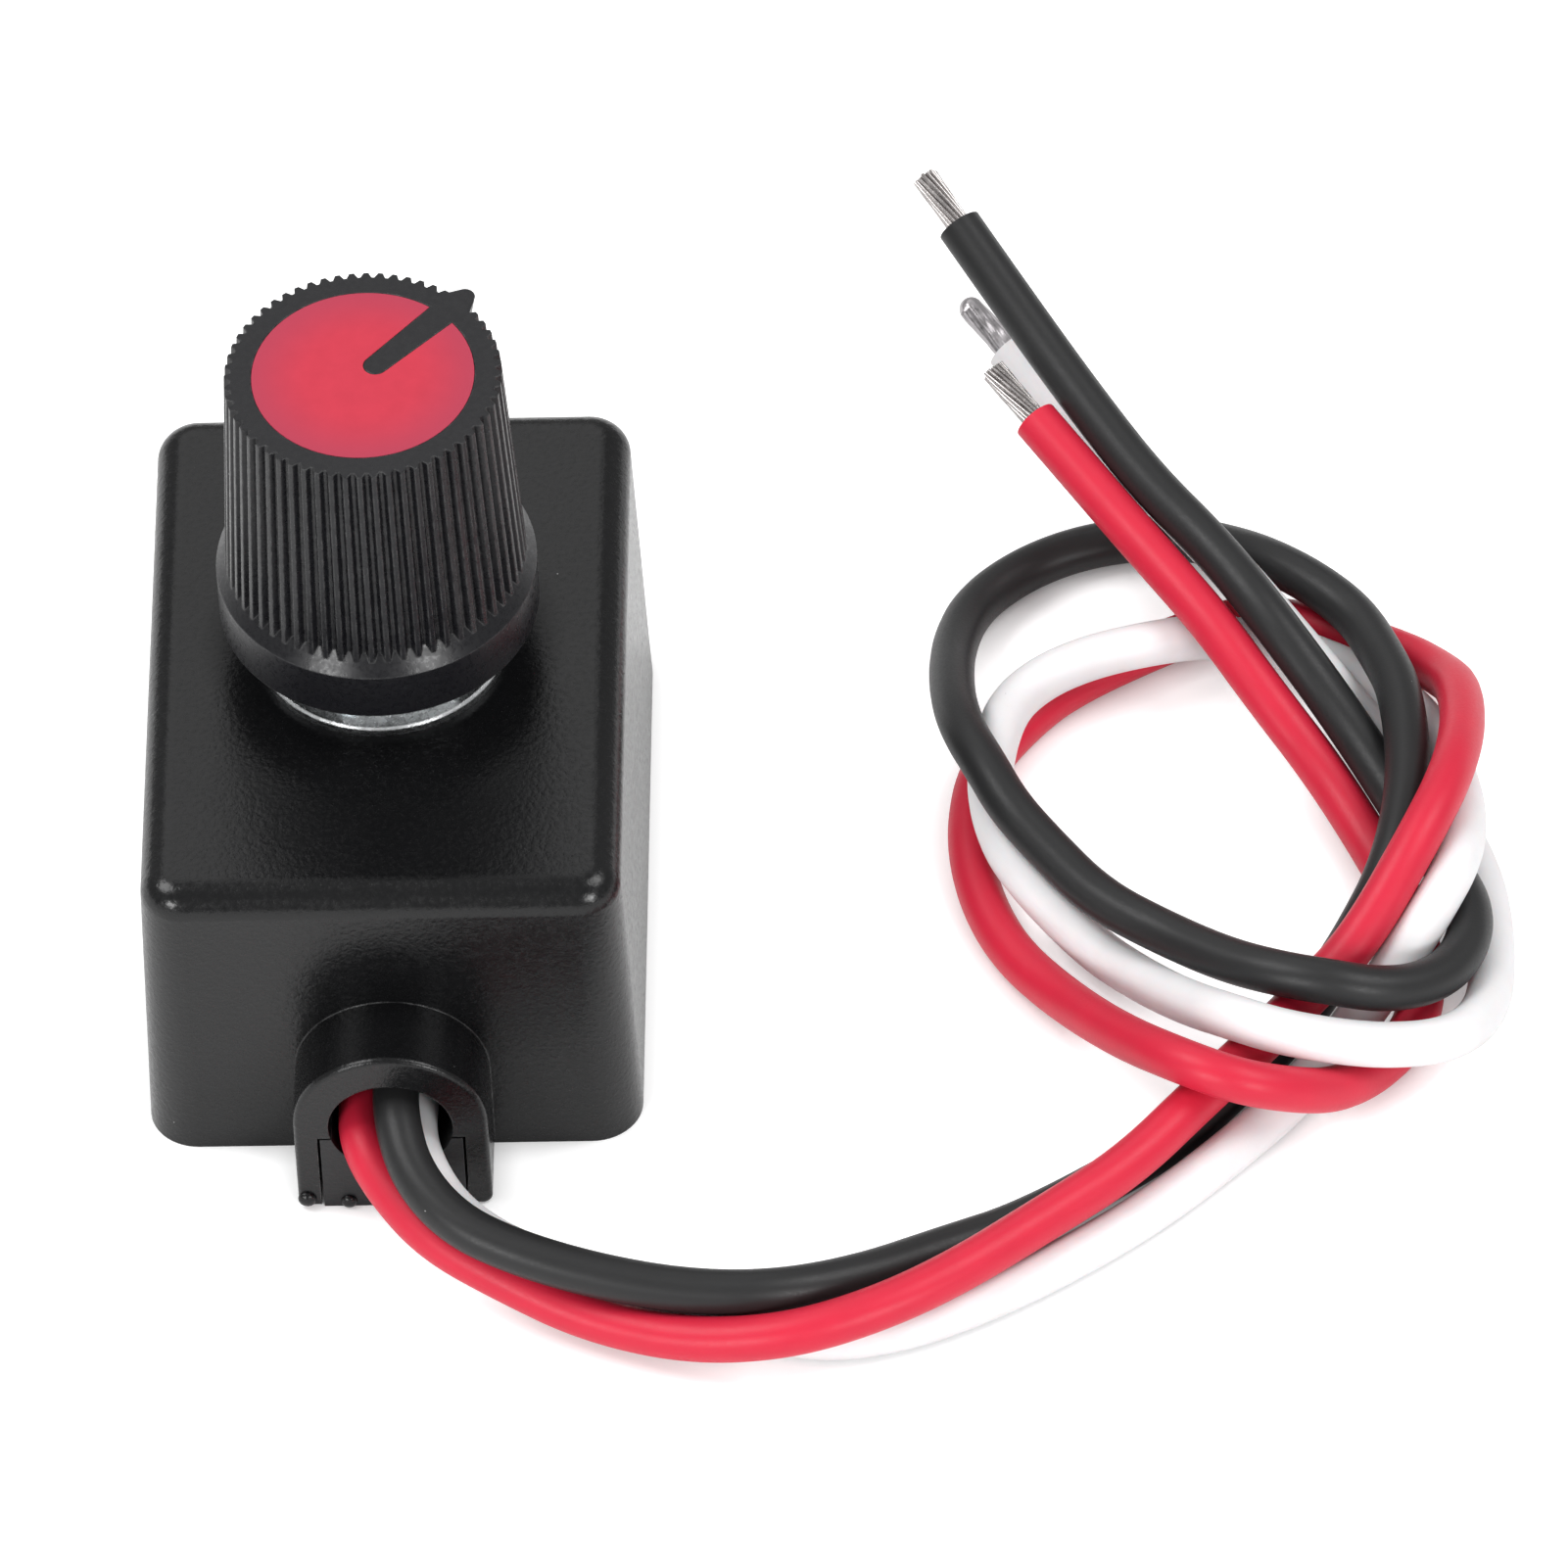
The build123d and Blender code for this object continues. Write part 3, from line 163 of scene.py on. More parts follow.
def add_spline(obj, points, steps):
    """One open NURBS spline through control points in metres, with so many steps for each run."""
    spline = obj.data.splines.new("NURBS")
    spline.points.add(len(points) - 1)
    for control, place in zip(spline.points, points):
        control.co = (*place, 1.0)
    spline.order_u = SPLINE_ORDER
    spline.use_endpoint_u = True
    spline.resolution_u = steps


# %% Leads
def centre_line(points):
    """Points along the middle of a lead, from a bare copy of its curve turned into a mesh."""
    probe = new_curve("probe", 0.0, LEAD_ROUNDNESS)
    probe.data.use_fill_caps = False
    add_spline(probe, points, LEAD_STEPS)
    mesh = bpy.data.meshes.new_from_object(probe)
    places = [vertex.co.copy() for vertex in mesh.vertices]
    bpy.data.objects.remove(probe)
    bpy.data.meshes.remove(mesh)
    return places


def length_of(line):
    """The length in metres of a line of points."""
    return sum((after - before).length for before, after in zip(line, line[1:]))


leads = {}
lines = {}
for name, route in ROUTES.items():
    points = [Vector(point) * MM for point in route]
    leads[name] = new_curve(f"{name}_insulation", LEAD_DIAMETER / 2, LEAD_ROUNDNESS)
    add_spline(leads[name], points, LEAD_STEPS)
    lines[name] = centre_line(points)
    print(name, "lead", round(length_of(lines[name]) / MM, 1), "mm along its middle")

# %% [markdown]
# ## Stripped cores
#
# The last few millimetres of each lead are stripped. The red and black cores were simply cut, so their
# strands spread a little and end in a jagged cut. A real core of this gauge has far more and thinner
# strands; fewer and slightly thicker ones read the same at this distance. Each strand is a spline of one
# curve, so that a core is one object. It starts a little inside the insulation. All sizes are in
# millimetres.

# %% Strands
STRAND_RADIUS = 0.105
STRAND_ROUNDNESS = 3
STRAND_POINTS = 9
STRAND_STEPS = 4
RINGS = (1, 5, 10, 15)
CORE_RADIUS = 0.52
HIDDEN_LENGTH = 0.6
UNEVEN_CUT = 0.05
STRAY = 0.05
CUT_CORES = {
    "red": {"length": 3.45, "flare": 1.06, "twist": 0.2},
    "black": {"length": 3.1, "flare": 1.12, "twist": 0.16},
}


def end_direction(line):
    """The way that the cut end of a lead points."""
    return (line[-1] - line[-3]).normalized()


def make_core(name, line, length, flare, twist):
    """Strands in rings round the lead's end direction, as one curve object with a spline for each."""
    ahead = end_direction(line)
    side = ahead.cross(Vector((0, 0, 1))).normalized()
    up = side.cross(ahead)
    core = new_curve(f"{name}_strands", STRAND_RADIUS * MM, STRAND_ROUNDNESS)
    for ring, count in enumerate(RINGS):
        radius = CORE_RADIUS * ring / (len(RINGS) - 1)
        for index in range(count):
            start = 2 * pi * (index + 0.5 * ring) / count
            wobble = noise.noise(Vector((ring * 3.1, index * 1.7, len(name))))
            reach = length * (1 + UNEVEN_CUT * wobble)
            points = []
            for step in range(STRAND_POINTS):
                share = step / (STRAND_POINTS - 1)
                turn = start + twist * 2 * pi * share
                spread = radius * (1 + (flare - 1) * share ** 2) + STRAY * wobble * share
                along = reach * share - HIDDEN_LENGTH * (1 - share)
                across = side * spread * cos(turn) + up * spread * sin(turn)
                points.append(line[-1] + (ahead * along + across) * MM)
            add_spline(core, points, STRAND_STEPS)
    return core


strands = {name: make_core(name, lines[name], **sizes) for name, sizes in CUT_CORES.items()}
print("strands per core:", {name: len(obj.data.splines) for name, obj in strands.items()})

# %% [markdown]
# The white core was dipped in solder, so it is a smooth peg with a round tip, and the twist of the strands
# only shows through as soft ridges. Half a sphere gives the tip. Its open rim is extruded to the length of
# the core and cut into short rings, and then every point is drawn in or out for the ridges.

# %% Solder-dipped core: a round peg
DIPPED_LENGTH = 3.5
DIPPED_RADIUS = 0.6
RIDGES = 11
RING_CUTS = 40

shape = bmesh.new()
bmesh.ops.create_uvsphere(shape, u_segments=6 * RIDGES, v_segments=20, radius=DIPPED_RADIUS)
everything = shape.verts[:] + shape.edges[:] + shape.faces[:]
bmesh.ops.bisect_plane(shape, geom=everything, plane_co=(0, 0, 0), plane_no=(0, 0, -1), clear_outer=True)
rim = [edge for edge in shape.edges if edge.is_boundary]
grown = bmesh.ops.extrude_edge_only(shape, edges=rim)["geom"]
open_end = [item for item in grown if isinstance(item, bmesh.types.BMVert)]
stretch = DIPPED_LENGTH + HIDDEN_LENGTH - DIPPED_RADIUS
bmesh.ops.translate(shape, vec=(0, 0, -stretch), verts=open_end)
long_edges = [edge for edge in shape.edges if edge.calc_length() > stretch / 2]
bmesh.ops.subdivide_edges(shape, edges=long_edges, cuts=RING_CUTS)
print("peg:", len(shape.verts), "points")

# %% Solder-dipped core: ridges and lumps
RIDGE_HEIGHT = 0.035
RIDGE_TWIST = 1.9
SMOOTH_TIP = 0.35
LUMP_HEIGHT = 0.09
LUMPS_PER_MM = 1.3
LUMP_SHIFT = 0.3
TAPER = 0.05

for vertex in shape.verts:
    angle = Vector((1, 0)).angle_signed(vertex.co.to_2d(), 0.0)
    fade = min(1.0, max(0.0, (DIPPED_RADIUS - vertex.co.z) / DIPPED_RADIUS - SMOOTH_TIP))
    ridge = RIDGE_HEIGHT * fade * cos(RIDGES * angle + RIDGE_TWIST * vertex.co.z)
    lump = LUMP_HEIGHT * (noise.noise(vertex.co * LUMPS_PER_MM) + LUMP_SHIFT)
    taper = TAPER * -vertex.co.z / stretch
    vertex.co.xy *= 1 + ridge + lump + taper
bmesh.ops.translate(shape, vec=(0, 0, stretch - HIDDEN_LENGTH), verts=shape.verts)
bmesh.ops.recalc_face_normals(shape, faces=shape.faces)
widest = max(vertex.co.to_2d().length for vertex in shape.verts)
print("dipped core:", round(2 * widest, 2), "mm across at its thickest")


# %% Solder-dipped core: put at the end of its lead
def as_object(shape, name):
    """The finished shape as a smooth object at the origin."""
    mesh = bpy.data.meshes.new(name)
    shape.to_mesh(mesh)
    shape.free()
    mesh.shade_smooth()
    obj = bpy.data.objects.new(name, mesh)
    scene.collection.objects.link(obj)
    return obj


placing = end_direction(lines["white"]).to_track_quat("Z", "Y").to_matrix().to_4x4()
placing.translation = lines["white"][-1]
bmesh.ops.transform(shape, matrix=placing @ Matrix.Scale(MM, 4), verts=shape.verts)
dipped = as_object(shape, "white_dipped_core")
cores = {**strands, "white": dipped}
print("dipped core:", len(dipped.data.polygons), "faces")

# %% [markdown]
# ## Materials
#
# The finishes could be image textures, but node patterns stay sharp at any distance and need no unwrapping.
# Small helpers build them. Each takes its grain and marks from object coordinates in millimetres, so that
# they have their real size and stay on the piece when it moves.

# %% A shader in millimetres
def new_material(name, color, roughness, metallic=0.0, specular=0.5):
    """A material of one plain colour to start from, and object coordinates ready in millimetres."""
    material = bpy.data.materials.new(name)
    material.use_nodes = True
    tree = material.node_tree
    shader = tree.nodes["Principled BSDF"]
    shader.inputs["Base Color"].default_value = (*color, 1.0)
    shader.inputs["Roughness"].default_value = roughness
    shader.inputs["Metallic"].default_value = metallic
    shader.inputs["Specular IOR Level"].default_value = specular
    place = tree.nodes.new("ShaderNodeTexCoord")
    scale = tree.nodes.new("ShaderNodeVectorMath")
    scale.operation = "SCALE"
    scale.inputs["Scale"].default_value = 1 / MM
    tree.links.new(place.outputs["Object"], scale.inputs[0])
    return material, tree, shader, scale.outputs["Vector"]


def paint(obj, material):
    """The object shows this material only."""
    obj.data.materials.clear()
    obj.data.materials.append(material)


# %% Noise, ramps and mixing
def noise_node(tree, place, scale, detail=3.0, rough=0.5, stretch=None):
    """Noise of so many features per millimetre, stretched along the axes if asked."""
    if stretch:
        bend = tree.nodes.new("ShaderNodeMapping")
        bend.inputs["Scale"].default_value = stretch
        tree.links.new(place, bend.inputs["Vector"])
        place = bend.outputs["Vector"]
    node = tree.nodes.new("ShaderNodeTexNoise")
    node.inputs["Scale"].default_value = scale
    node.inputs["Detail"].default_value = detail
    node.inputs["Roughness"].default_value = rough
    tree.links.new(place, node.inputs["Vector"])
    return node.outputs["Fac"]


def ramp(tree, value, stops):
    """A grey ramp: stops are (position, grey)."""
    node = tree.nodes.new("ShaderNodeValToRGB")
    marks = node.color_ramp.elements
    for mark, (position, tone) in zip(marks, stops):
        mark.position = position
        mark.color = (tone, tone, tone, 1.0)
    tree.links.new(value, node.inputs["Fac"])
    return node.outputs["Color"]


def mixed(tree, amount, first, second):
    """Two colours mixed by a value; either may be a plain colour."""
    node = tree.nodes.new("ShaderNodeMix")
    node.data_type = "RGBA"
    for socket, tone in ((node.inputs[6], first), (node.inputs[7], second)):
        if isinstance(tone, tuple):
            socket.default_value = (*tone, 1.0)
        else:
            tree.links.new(tone, socket)
    tree.links.new(amount, node.inputs["Factor"])
    return node.outputs[2]


def shaded(color, factor):
    """The colour made lighter or darker."""
    return tuple(factor * value for value in color)


def math_node(tree, operation, *values):
    """A sum, product or the like of sockets and plain numbers."""
    node = tree.nodes.new("ShaderNodeMath")
    node.operation = operation
    for socket, value in zip(node.inputs, values):
        if isinstance(value, float):
            socket.default_value = value
        else:
            tree.links.new(value, socket)
    return node.outputs[0]


# %% Bump and uneven gloss
BEVEL_SAMPLES = 4


def bevelled_normal(tree, radius):
    """The surface's direction with its edges rounded by that radius in millimetres."""
    edge = tree.nodes.new("ShaderNodeBevel")
    edge.samples = BEVEL_SAMPLES
    edge.inputs["Radius"].default_value = radius * MM
    return edge.outputs["Normal"]


def bump(tree, shader, height, distance, radius=0.0):
    """Bump of that depth in millimetres, on rounded edges if a radius is given."""
    node = tree.nodes.new("ShaderNodeBump")
    node.inputs["Distance"].default_value = distance * MM
    tree.links.new(height, node.inputs["Height"])
    if radius:
        tree.links.new(bevelled_normal(tree, radius), node.inputs["Normal"])
    tree.links.new(node.outputs["Normal"], shader.inputs["Normal"])


def vary_roughness(tree, shader, grain, low, high):
    """Roughness that follows the grain from one value to another."""
    tree.links.new(ramp(tree, grain, [(0.3, low), (0.7, high)]), shader.inputs["Roughness"])


# %% [markdown]
# Black plastic shows every speck of dust, and its edges wear to a dull grey where hands and the bench rub
# them; the same grey also paints the thin highlights that run along its edges. Both could be painted by
# hand; here Voronoi cells scatter the dust, and the edges are found where a rounded normal leaves the true
# one, so that the marks lie right on any shape.

# %% Marks that plastic and silicone pick up, and painted edge highlights
FLECK_RIM = 0.7
THIN_STEP = 0.001
EDGE_ALIKE = (0.9, 0.98)
PATCHES_PER_MM = 1.6


def flecks(tree, place, cells, share, size):
    """Tiny round dust flecks: cells of Voronoi noise, of which a share carry a dot in the middle."""
    node = tree.nodes.new("ShaderNodeTexVoronoi")
    node.inputs["Scale"].default_value = cells
    tree.links.new(place, node.inputs["Vector"])
    radius = size * cells
    dot = ramp(tree, node.outputs["Distance"], [(radius * FLECK_RIM, 1.0), (radius, 0.0)])
    chosen = ramp(tree, node.outputs["Color"], [(1.0 - share, 0.0), (1.0 - share + THIN_STEP, 1.0)])
    return math_node(tree, "MULTIPLY", dot, chosen)


def worn_and_highlit_edges(tree, place, radius, strength):
    """Edges, greyed for wear and as painted highlights: where a rounded normal differs from the true one
    there is an edge; noise breaks the line up.
    """
    true = tree.nodes.new("ShaderNodeNewGeometry")
    alike = tree.nodes.new("ShaderNodeVectorMath")
    alike.operation = "DOT_PRODUCT"
    tree.links.new(bevelled_normal(tree, radius), alike.inputs[0])
    tree.links.new(true.outputs["Normal"], alike.inputs[1])
    line = ramp(tree, alike.outputs["Value"], [(EDGE_ALIKE[0], 1.0), (EDGE_ALIKE[1], 0.0)])
    patchy = ramp(tree, noise_node(tree, place, PATCHES_PER_MM), [(0.35, 0.0), (0.65, strength)])
    return math_node(tree, "MULTIPLY", line, patchy)


# %% [markdown]
# Two finishes change with the distance from a point, both as painted shade: the case is less glossy round
# the washer, and the disc is darker towards its rim. The point is the middle of a CAD piece, so that it
# follows the model.

# %% What changes with the distance from a point
def middle_of(obj, seen_from):
    """The middle of an object's box, in another object's own coordinates and in millimetres."""
    middle = sum((Vector(corner) for corner in obj.bound_box), Vector()) / 8
    return seen_from.matrix_world.inverted() @ obj.matrix_world @ middle / MM


def away_from(tree, place, middle, inner, outer):
    """0 within one distance of a point in millimetres, 1 beyond another, smooth between."""
    apart = tree.nodes.new("ShaderNodeVectorMath")
    apart.operation = "DISTANCE"
    apart.inputs[1].default_value = middle
    tree.links.new(place, apart.inputs[0])
    share = tree.nodes.new("ShaderNodeMapRange")
    share.interpolation_type = "SMOOTHSTEP"
    share.inputs["From Min"].default_value = inner
    share.inputs["From Max"].default_value = outer
    tree.links.new(apart.outputs["Value"], share.inputs["Value"])
    return share.outputs["Result"]


under_washer = middle_of(cad["washer"], cad["case_shell"])
print("middle of the washer in mm:", [round(value, 2) for value in under_washer])

# %% [markdown]
# The mouldings are black with a fine grain. Round the washer the case is made less glossy in a ring:
# painted shade, where the knob shades the case. One noise drives both the bump and the gloss, so that the
# highlights break up with the grain, as they do on a real moulding.

# %% Moulded black plastic
GRAIN_PER_MM = 3.6
CLOUDS_PER_MM = 0.35
# Painted highlight and wear: this grey on the edges stands for wear and for the thin highlights along them.
WEAR_AND_HIGHLIGHT_GREY = (0.25, 0.25, 0.25)
DUST_GREY = (0.3, 0.3, 0.3)
# Painted shade: the case is made less glossy in a ring round the washer, where the knob shades it.
SHADE_RING_INNER = 6.2
SHADE_RING_OUTER = 9.5
SHADE_RING_SPECULAR = 0.06


def moulded_plastic(name, color, roughness, grain, edge, wear_and_highlight, specular, shade_ring_middle=None):
    """Satin plastic: grain and rounded edges in the bump; clouds, dust and an edge grey for wear and
    painted highlights in the colour; painted shade as a less glossy ring round a middle, if one is given.
    """
    material, tree, shader, place = new_material(name, color, roughness, specular=specular)
    # Painted shade: a lower specular level within a ring round the given middle.
    if shade_ring_middle is not None:
        outside_shade_ring = away_from(tree, place, shade_ring_middle, SHADE_RING_INNER, SHADE_RING_OUTER)
        ring_specular = ramp(tree, outside_shade_ring, [(0.0, SHADE_RING_SPECULAR), (1.0, specular)])
        tree.links.new(ring_specular, shader.inputs["Specular IOR Level"])
    fine = noise_node(tree, place, GRAIN_PER_MM, 3.0, 0.6)
    broad = noise_node(tree, place, CLOUDS_PER_MM, 2.0)
    tone = mixed(tree, broad, shaded(color, 0.8), shaded(color, 1.2))
    # Edges painted grey, partly for wear and partly as painted highlights.
    worn_and_highlit = mixed(tree, worn_and_highlit_edges(tree, place, edge, wear_and_highlight), tone, WEAR_AND_HIGHLIGHT_GREY)
    dusty = mixed(tree, flecks(tree, place, cells=2.0, share=0.06, size=0.045), worn_and_highlit, DUST_GREY)
    tree.links.new(dusty, shader.inputs["Base Color"])
    vary_roughness(tree, shader, fine, roughness - 0.08, roughness + 0.08)
    bump(tree, shader, fine, grain, radius=edge)
    return material


# %% Case and bottom cover
# The case gets the ring of painted shade round the washer.
case_plastic = moulded_plastic(
    "case_plastic", (0.0045, 0.0046, 0.005), roughness=0.24, grain=0.024,
    edge=0.12, wear_and_highlight=0.35, specular=0.36, shade_ring_middle=under_washer,
)
cover_plastic = moulded_plastic(
    "cover_plastic", (0.006, 0.0062, 0.007), roughness=0.36, grain=0.025, edge=0.08, wear_and_highlight=0.2, specular=0.4,
)
paint(cad["case_shell"], case_plastic)
paint(cad["bottom_cover"], cover_plastic)
print("case plastic:", len(case_plastic.node_tree.nodes), "nodes")

# %% [markdown]
# Two small round pips stand on the outlet's front, low on the left leg and on the tongue: the marks of the
# moulding tool's ejector pins. Each is a small sphere pressed flat, half sunk into the face, because bump
# alone would leave no outline.

# %% Moulding pips
PIP_FLATNESS = 0.7
PIPS = {
    "leg_pip": {"across": -4.28, "height": 0.6, "radius": 0.47},
    "tongue_pip": {"across": -2.21, "height": 0.4, "radius": 0.42},
}
outlet_front = min(corner[1] for corner in cad["case_shell"].bound_box) / MM
print("the outlet's front is at", round(outlet_front, 3), "mm")


def make_pip(name, across, height, radius):
    """A flattened sphere at its place on the outlet's front, as a mesh of its own."""
    shape = bmesh.new()
    bmesh.ops.create_icosphere(shape, subdivisions=3, radius=radius)
    bmesh.ops.scale(shape, vec=(1.0, PIP_FLATNESS, 1.0), verts=shape.verts)
    bmesh.ops.translate(shape, vec=(across, outlet_front, height), verts=shape.verts)
    bmesh.ops.scale(shape, vec=(MM, MM, MM), verts=shape.verts)
    pip = as_object(shape, name)
    paint(pip, case_plastic)
    return pip


pips = [make_pip(name, **sizes) for name, sizes in PIPS.items()]
print("pips:", [len(pip.data.vertices) for pip in pips])

# %% [markdown]
# The knob is a smoother moulding than the case, with hardly any grain. The disc pressed into its top is a
# pinkish red, satin and a little cloudy, with painted shade darkening it towards its rim. Real translucency
# could darken the rim; a mix by the distance from the disc's middle paints that shade more simply and
# without noise.

# %% Knob plastic
# On the knob the edge grey also paints the bright line along the skirt's top edge.
knob_plastic = moulded_plastic(
    "knob_plastic", (0.006, 0.006, 0.0075), roughness=0.3, grain=0.006, edge=0.12, wear_and_highlight=0.3, specular=0.34,
)
paint(cad["knob_shell"], knob_plastic)
print("knob plastic:", len(knob_plastic.node_tree.nodes), "nodes")

# %% Coloured disc
DISC_RED = (0.49, 0.034, 0.06)
DISC_CLOUDS = ((0.445, 0.025, 0.048), (0.55, 0.0345, 0.063))
# Painted shade: the disc's colour at its rim, darker than its middle.
DISC_RIM_SHADE = (0.38, 0.036, 0.07)
DISC_SHADE_FADE = (2.5, 6.0)

disc_red, tree, shader, place = new_material("disc_red", DISC_RED, 0.42, specular=0.25)
mottle = noise_node(tree, place, 0.8, 5.0, 0.6)
bright = mixed(tree, mottle, *DISC_CLOUDS)
# Painted shade: mixed in from the disc's middle out to its rim.
rim_shade = away_from(tree, place, middle_of(cad["knob_disc"], cad["knob_disc"]), *DISC_SHADE_FADE)
tree.links.new(mixed(tree, rim_shade, bright, DISC_RIM_SHADE), shader.inputs["Base Color"])
bump(tree, shader, noise_node(tree, place, 9.0), 0.004)
paint(cad["knob_disc"], disc_red)
print("disc:", len(tree.nodes), "nodes")

# %% [markdown]
# Nut and washer are bright zinc plate, the neck and shaft nickel plate, and the strands dull tin. One
# helper serves them all: stretched noise gives the marks of turning, and a shader bevel gives the washer
# and the nut the soft bright edge that stamped metal has.

# %% Metal
def metal(name, color, roughness, stretch, edge=0.05):
    """Bare metal with marks along the stretched direction, and edges rounded a little."""
    material, tree, shader, place = new_material(name, color, roughness, metallic=1.0)
    marks = noise_node(tree, place, 2.2, 4.0, 0.6, stretch=stretch)
    vary_roughness(tree, shader, marks, roughness * 0.7, roughness * 1.4)
    bump(tree, shader, marks, 0.006, radius=edge)
    return material


zinc = metal("zinc_plate", (0.82, 0.84, 0.85), 0.24, (1.0, 1.0, 4.0), edge=0.14)
nickel = metal("nickel_plate", (0.66, 0.64, 0.58), 0.25, (1.0, 1.0, 6.0))
tin = metal("tinned_copper", (0.52, 0.49, 0.48), 0.24, (0.6, 0.6, 0.6))
solder_skin = metal("solder_skin", (0.42, 0.4, 0.41), 0.34, (1.0, 1.0, 1.0))
for name in ("washer", "hex_nut", "shaft_clip"):
    paint(cad[name], zinc)
for name in ("pot_bushing", "pot_shaft", "wiper_contact"):
    paint(cad[name], nickel)
for core in strands.values():
    paint(core, tin)
paint(dipped, solder_skin)
print("metals:", [material.name for material in (zinc, nickel, tin, solder_skin)])

# %% [markdown]
# Silicone insulation is satin and lets a little light in, which softens the red and the white leads. A
# small share of subsurface scattering gives that glow; the black one lets none through. Dust clings to it.

# %% Silicone insulation
GLOW_DEPTH = 0.6


def silicone(name, color, roughness, glow):
    """Satin silicone with a faint cloudiness, dust, and light that enters a little way."""
    material, tree, shader, place = new_material(name, color, roughness, specular=0.3)
    cloud = noise_node(tree, place, 0.5)
    fine = noise_node(tree, place, 7.0, 3.0, 0.6)
    tone = mixed(tree, cloud, shaded(color, 0.93), shaded(color, 1.05))
    dusty = mixed(tree, flecks(tree, place, cells=2.5, share=0.04, size=0.035), tone, (0.5, 0.5, 0.5))
    tree.links.new(dusty, shader.inputs["Base Color"])
    shader.inputs["Subsurface Weight"].default_value = glow
    shader.inputs["Subsurface Radius"].default_value = (1.0, 0.5, 0.4)
    shader.inputs["Subsurface Scale"].default_value = GLOW_DEPTH * MM
    vary_roughness(tree, shader, fine, roughness - 0.06, roughness + 0.06)
    bump(tree, shader, fine, 0.006)
    return material


paint(leads["red"], silicone("silicone_red", (0.58, 0.018, 0.046), 0.42, 0.2))
paint(leads["black"], silicone("silicone_black", (0.018, 0.018, 0.0185), 0.42, 0.0))
paint(leads["white"], silicone("silicone_white", (0.77, 0.76, 0.77), 0.45, 0.3))
print("lead materials:", [lead.data.materials[0].name for lead in leads.values()])

# %% [markdown]
# Nobody sees the parts inside the case unless it is opened, so each gets one plain colour with a slight
# unevenness: green solder mask, a dark sleeve on the capacitor, black moulding compound, tan ceramic chips
# and brown phenolic board with its fibres along one direction.

# %% Parts inside the case
def plain_material(name, color, roughness, lumps_per_mm, depth, stretch=None):
    """A plain finish whose only detail is a slight unevenness."""
    material, tree, shader, place = new_material(name, color, roughness)
    bump(tree, shader, noise_node(tree, place, lumps_per_mm, stretch=stretch), depth)
    return material


solder_mask = plain_material("solder_mask", (0.02, 0.16, 0.06), 0.35, 1.5, 0.02)
sleeve = plain_material("dark_sleeve", (0.02, 0.02, 0.05), 0.3, 3.0, 0.01)
compound = plain_material("moulding_compound", (0.02, 0.02, 0.02), 0.6, 8.0, 0.01)
ceramic = plain_material("tan_ceramic", (0.45, 0.3, 0.17), 0.5, 5.0, 0.01)
phenolic = plain_material("phenolic_board", (0.2, 0.08, 0.03), 0.5, 4.0, 0.01, stretch=(1, 6, 1))
INSIDE = {
    "circuit_board": solder_mask,
    "electrolytic_capacitor": sleeve,
    "flyback_diode": compound,
    "power_transistor": compound,
    "timer_chip": compound,
    "chip_resistors": compound,
    "chip_capacitors": ceramic,
    "solder_joints": tin,
    "pot_wafer": phenolic,
    "resistive_track": compound,
    "pot_terminals": tin,
    "pot_cover": zinc,
    "wiper_rotor": compound,
}
for name, material in INSIDE.items():
    paint(cad[name], material)
print("painted inside the case:", len(INSIDE))

# %% [markdown]
# ## Who carries what
#
# Leads, cores and pips stay with the housing when the knob turns. The leads and cores take the place of
# their plain CAD pieces.

# %% Who carries what
for pip in pips:
    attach(pip, "housing")
for name in ROUTES:
    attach(leads[name], "housing")
    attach(cores[name], "housing")
    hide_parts(f"{name}_lead")
    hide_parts(f"{name}_core")
print("carried by the housing:", len(pips) + len(leads) + len(cores))

# %% [markdown]
# ## Floor and light
#
# The object lies on a white sweep between two large soft lights and hardly throws a shadow. A soft light
# behind it shows as a sheen on the case top, which the knob's own dark reflection breaks in the middle. Two
# small low lights at the front put the glints on the case's corners, the washer and the knob's shoulder.
#
# The floor looks white to the camera and to shiny pieces, but not inside narrow gaps, where a real floor
# would lie in the dark. A little emission for those two kinds of ray does it, so that no more light has to
# fall on the object, and ambient occlusion takes it away in the gaps.

# %% Floor
FLOOR_REACH = 3.0
FLOOR_WHITE = (0.82, 0.82, 0.82)
CAMERA_LIFT = 0.55
SHINE_LIFT = 0.25
NARROW_GAP = 1.5
GAP_SAMPLES = 6

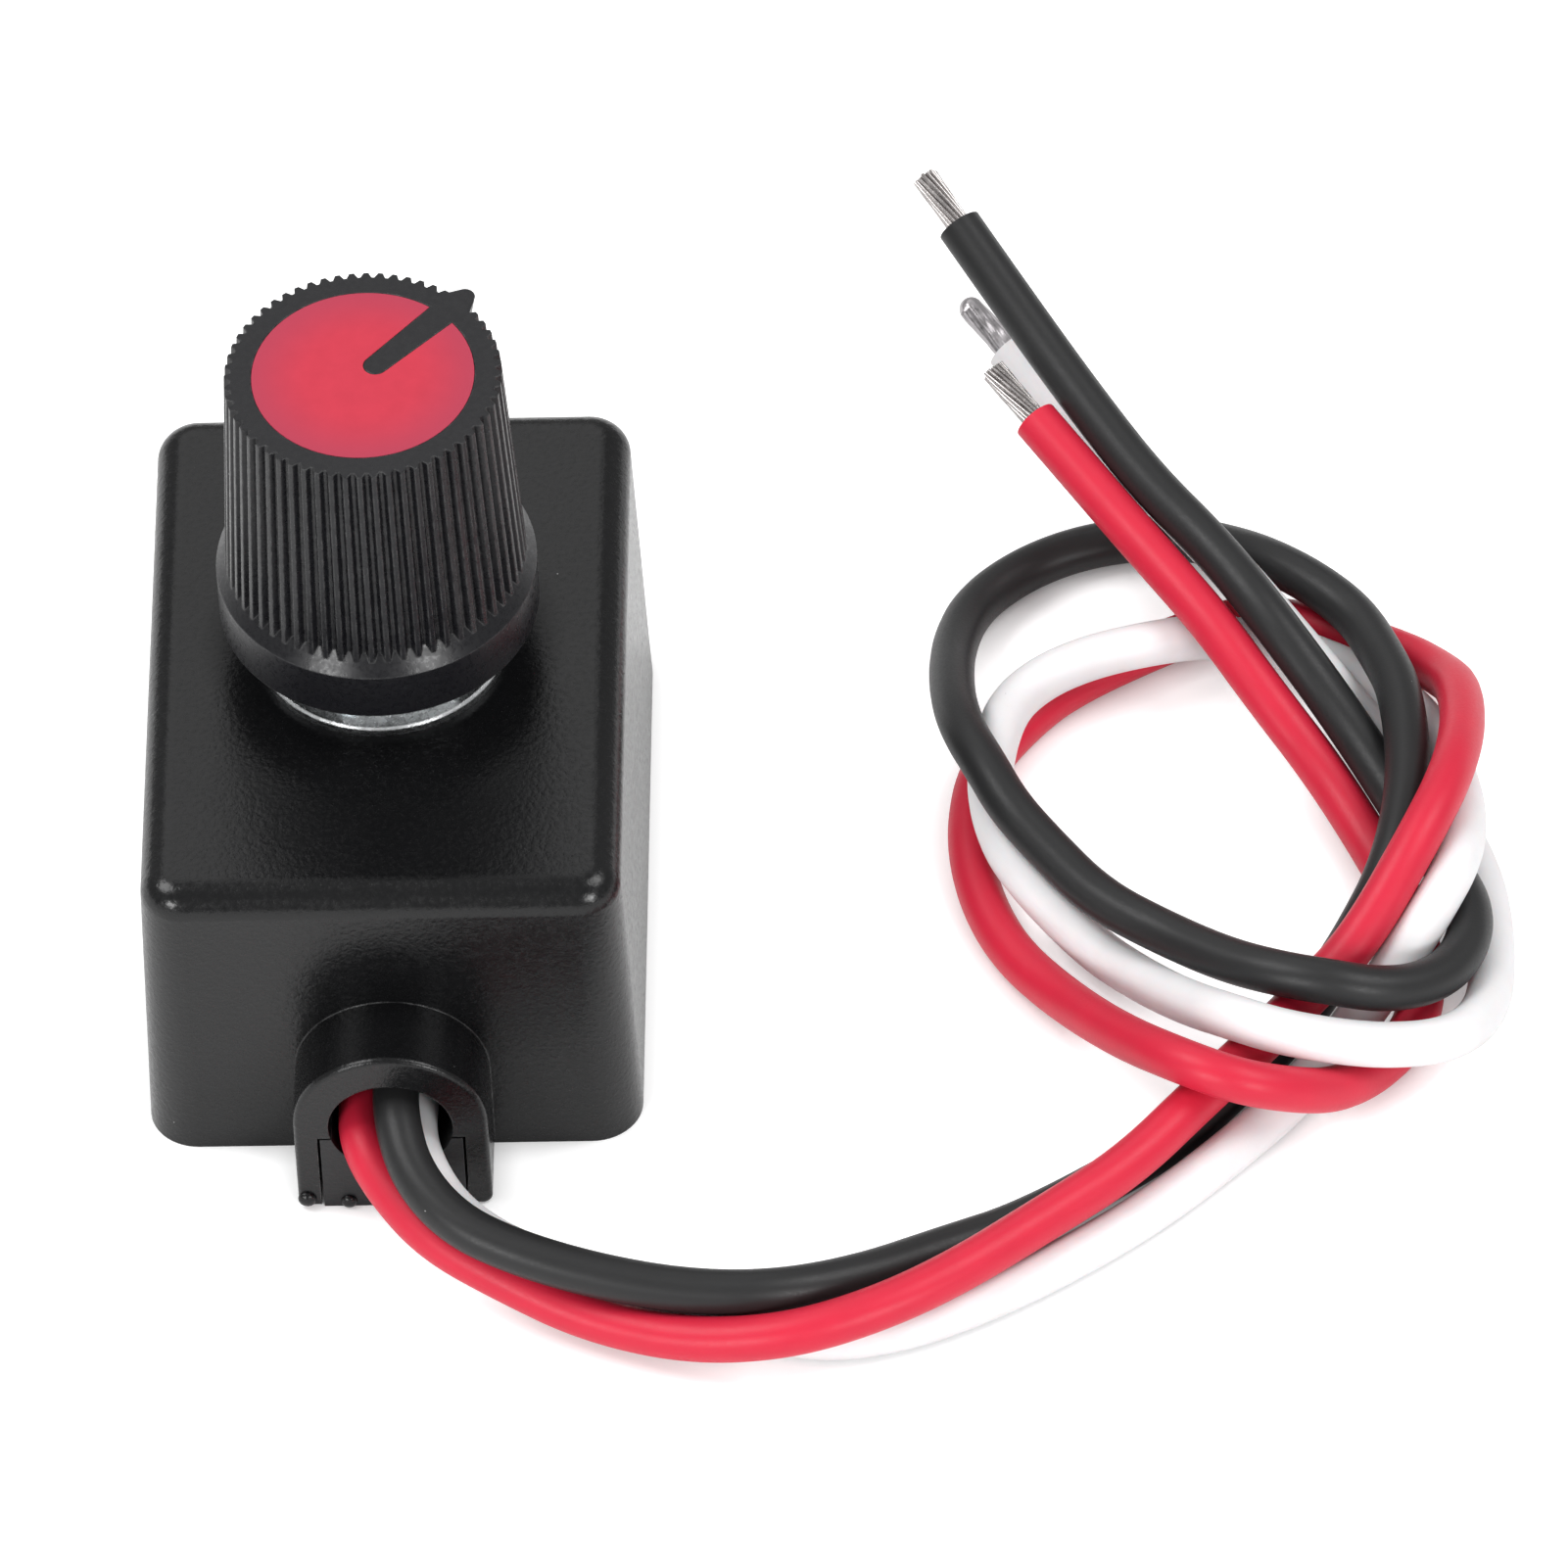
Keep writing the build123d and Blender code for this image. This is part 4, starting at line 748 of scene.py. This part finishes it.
sheet = bmesh.new()
bmesh.ops.create_grid(sheet, x_segments=1, y_segments=1, size=FLOOR_REACH)
floor = as_object(sheet, "floor")
floor_paint, tree, shader, place = new_material("floor_white", FLOOR_WHITE, 0.9, specular=0.1)
bump(tree, shader, noise_node(tree, place, 0.4), 0.01)
rays = tree.nodes.new("ShaderNodeLightPath")
to_camera = math_node(tree, "MULTIPLY", rays.outputs["Is Camera Ray"], CAMERA_LIFT)
to_both = math_node(tree, "MULTIPLY_ADD", rays.outputs["Is Glossy Ray"], SHINE_LIFT, to_camera)
openness = tree.nodes.new("ShaderNodeAmbientOcclusion")
openness.samples = GAP_SAMPLES
openness.inputs["Distance"].default_value = NARROW_GAP * MM
lift = math_node(tree, "MULTIPLY", openness.outputs["AO"], to_both)
shader.inputs["Emission Color"].default_value = (1, 1, 1, 1)
tree.links.new(lift, shader.inputs["Emission Strength"])
paint(floor, floor_paint)
print("floor:", [round(value, 2) for value in floor.dimensions], "m")

# %% Lights
MIDDLE = (0.02, 0, 0)
LIGHTS = {
    "left_light": {"place": (-0.52, 0.08, 0.88), "size": 0.55, "power": 4.9},
    "right_light": {"place": (0.58, 0.04, 0.85), "size": 0.55, "power": 4.1},
    "back_light": {"place": (-0.12, 0.6, 0.68), "size": 0.6, "power": 0.8},
    "front_left_light": {"place": (-0.46, -0.76, 0.38), "size": 0.3, "power": 3.85},
    "front_right_light": {"place": (0.5, -0.76, 0.4), "size": 0.3, "power": 3.6},
}
WORLD_LIGHT = 0.4


def area_light(name, place, size, power):
    """A round soft light that looks at the middle of the object."""
    data = bpy.data.lights.new(name, "AREA")
    data.shape = "DISK"
    data.size = size
    data.energy = power
    light = bpy.data.objects.new(name, data)
    light.location = place
    light.rotation_euler = (Vector(MIDDLE) - Vector(place)).to_track_quat("-Z", "Y").to_euler()
    scene.collection.objects.link(light)


for name, light in LIGHTS.items():
    area_light(name, **light)
world = bpy.data.worlds.new("studio")
world.use_nodes = True
background = world.node_tree.nodes["Background"]
background.inputs["Color"].default_value = (1, 1, 1, 1)
background.inputs["Strength"].default_value = WORLD_LIGHT
scene.world = world
scene.view_settings.view_transform = "Standard"
print("lights:", len(LIGHTS), "and the world at", WORLD_LIGHT)
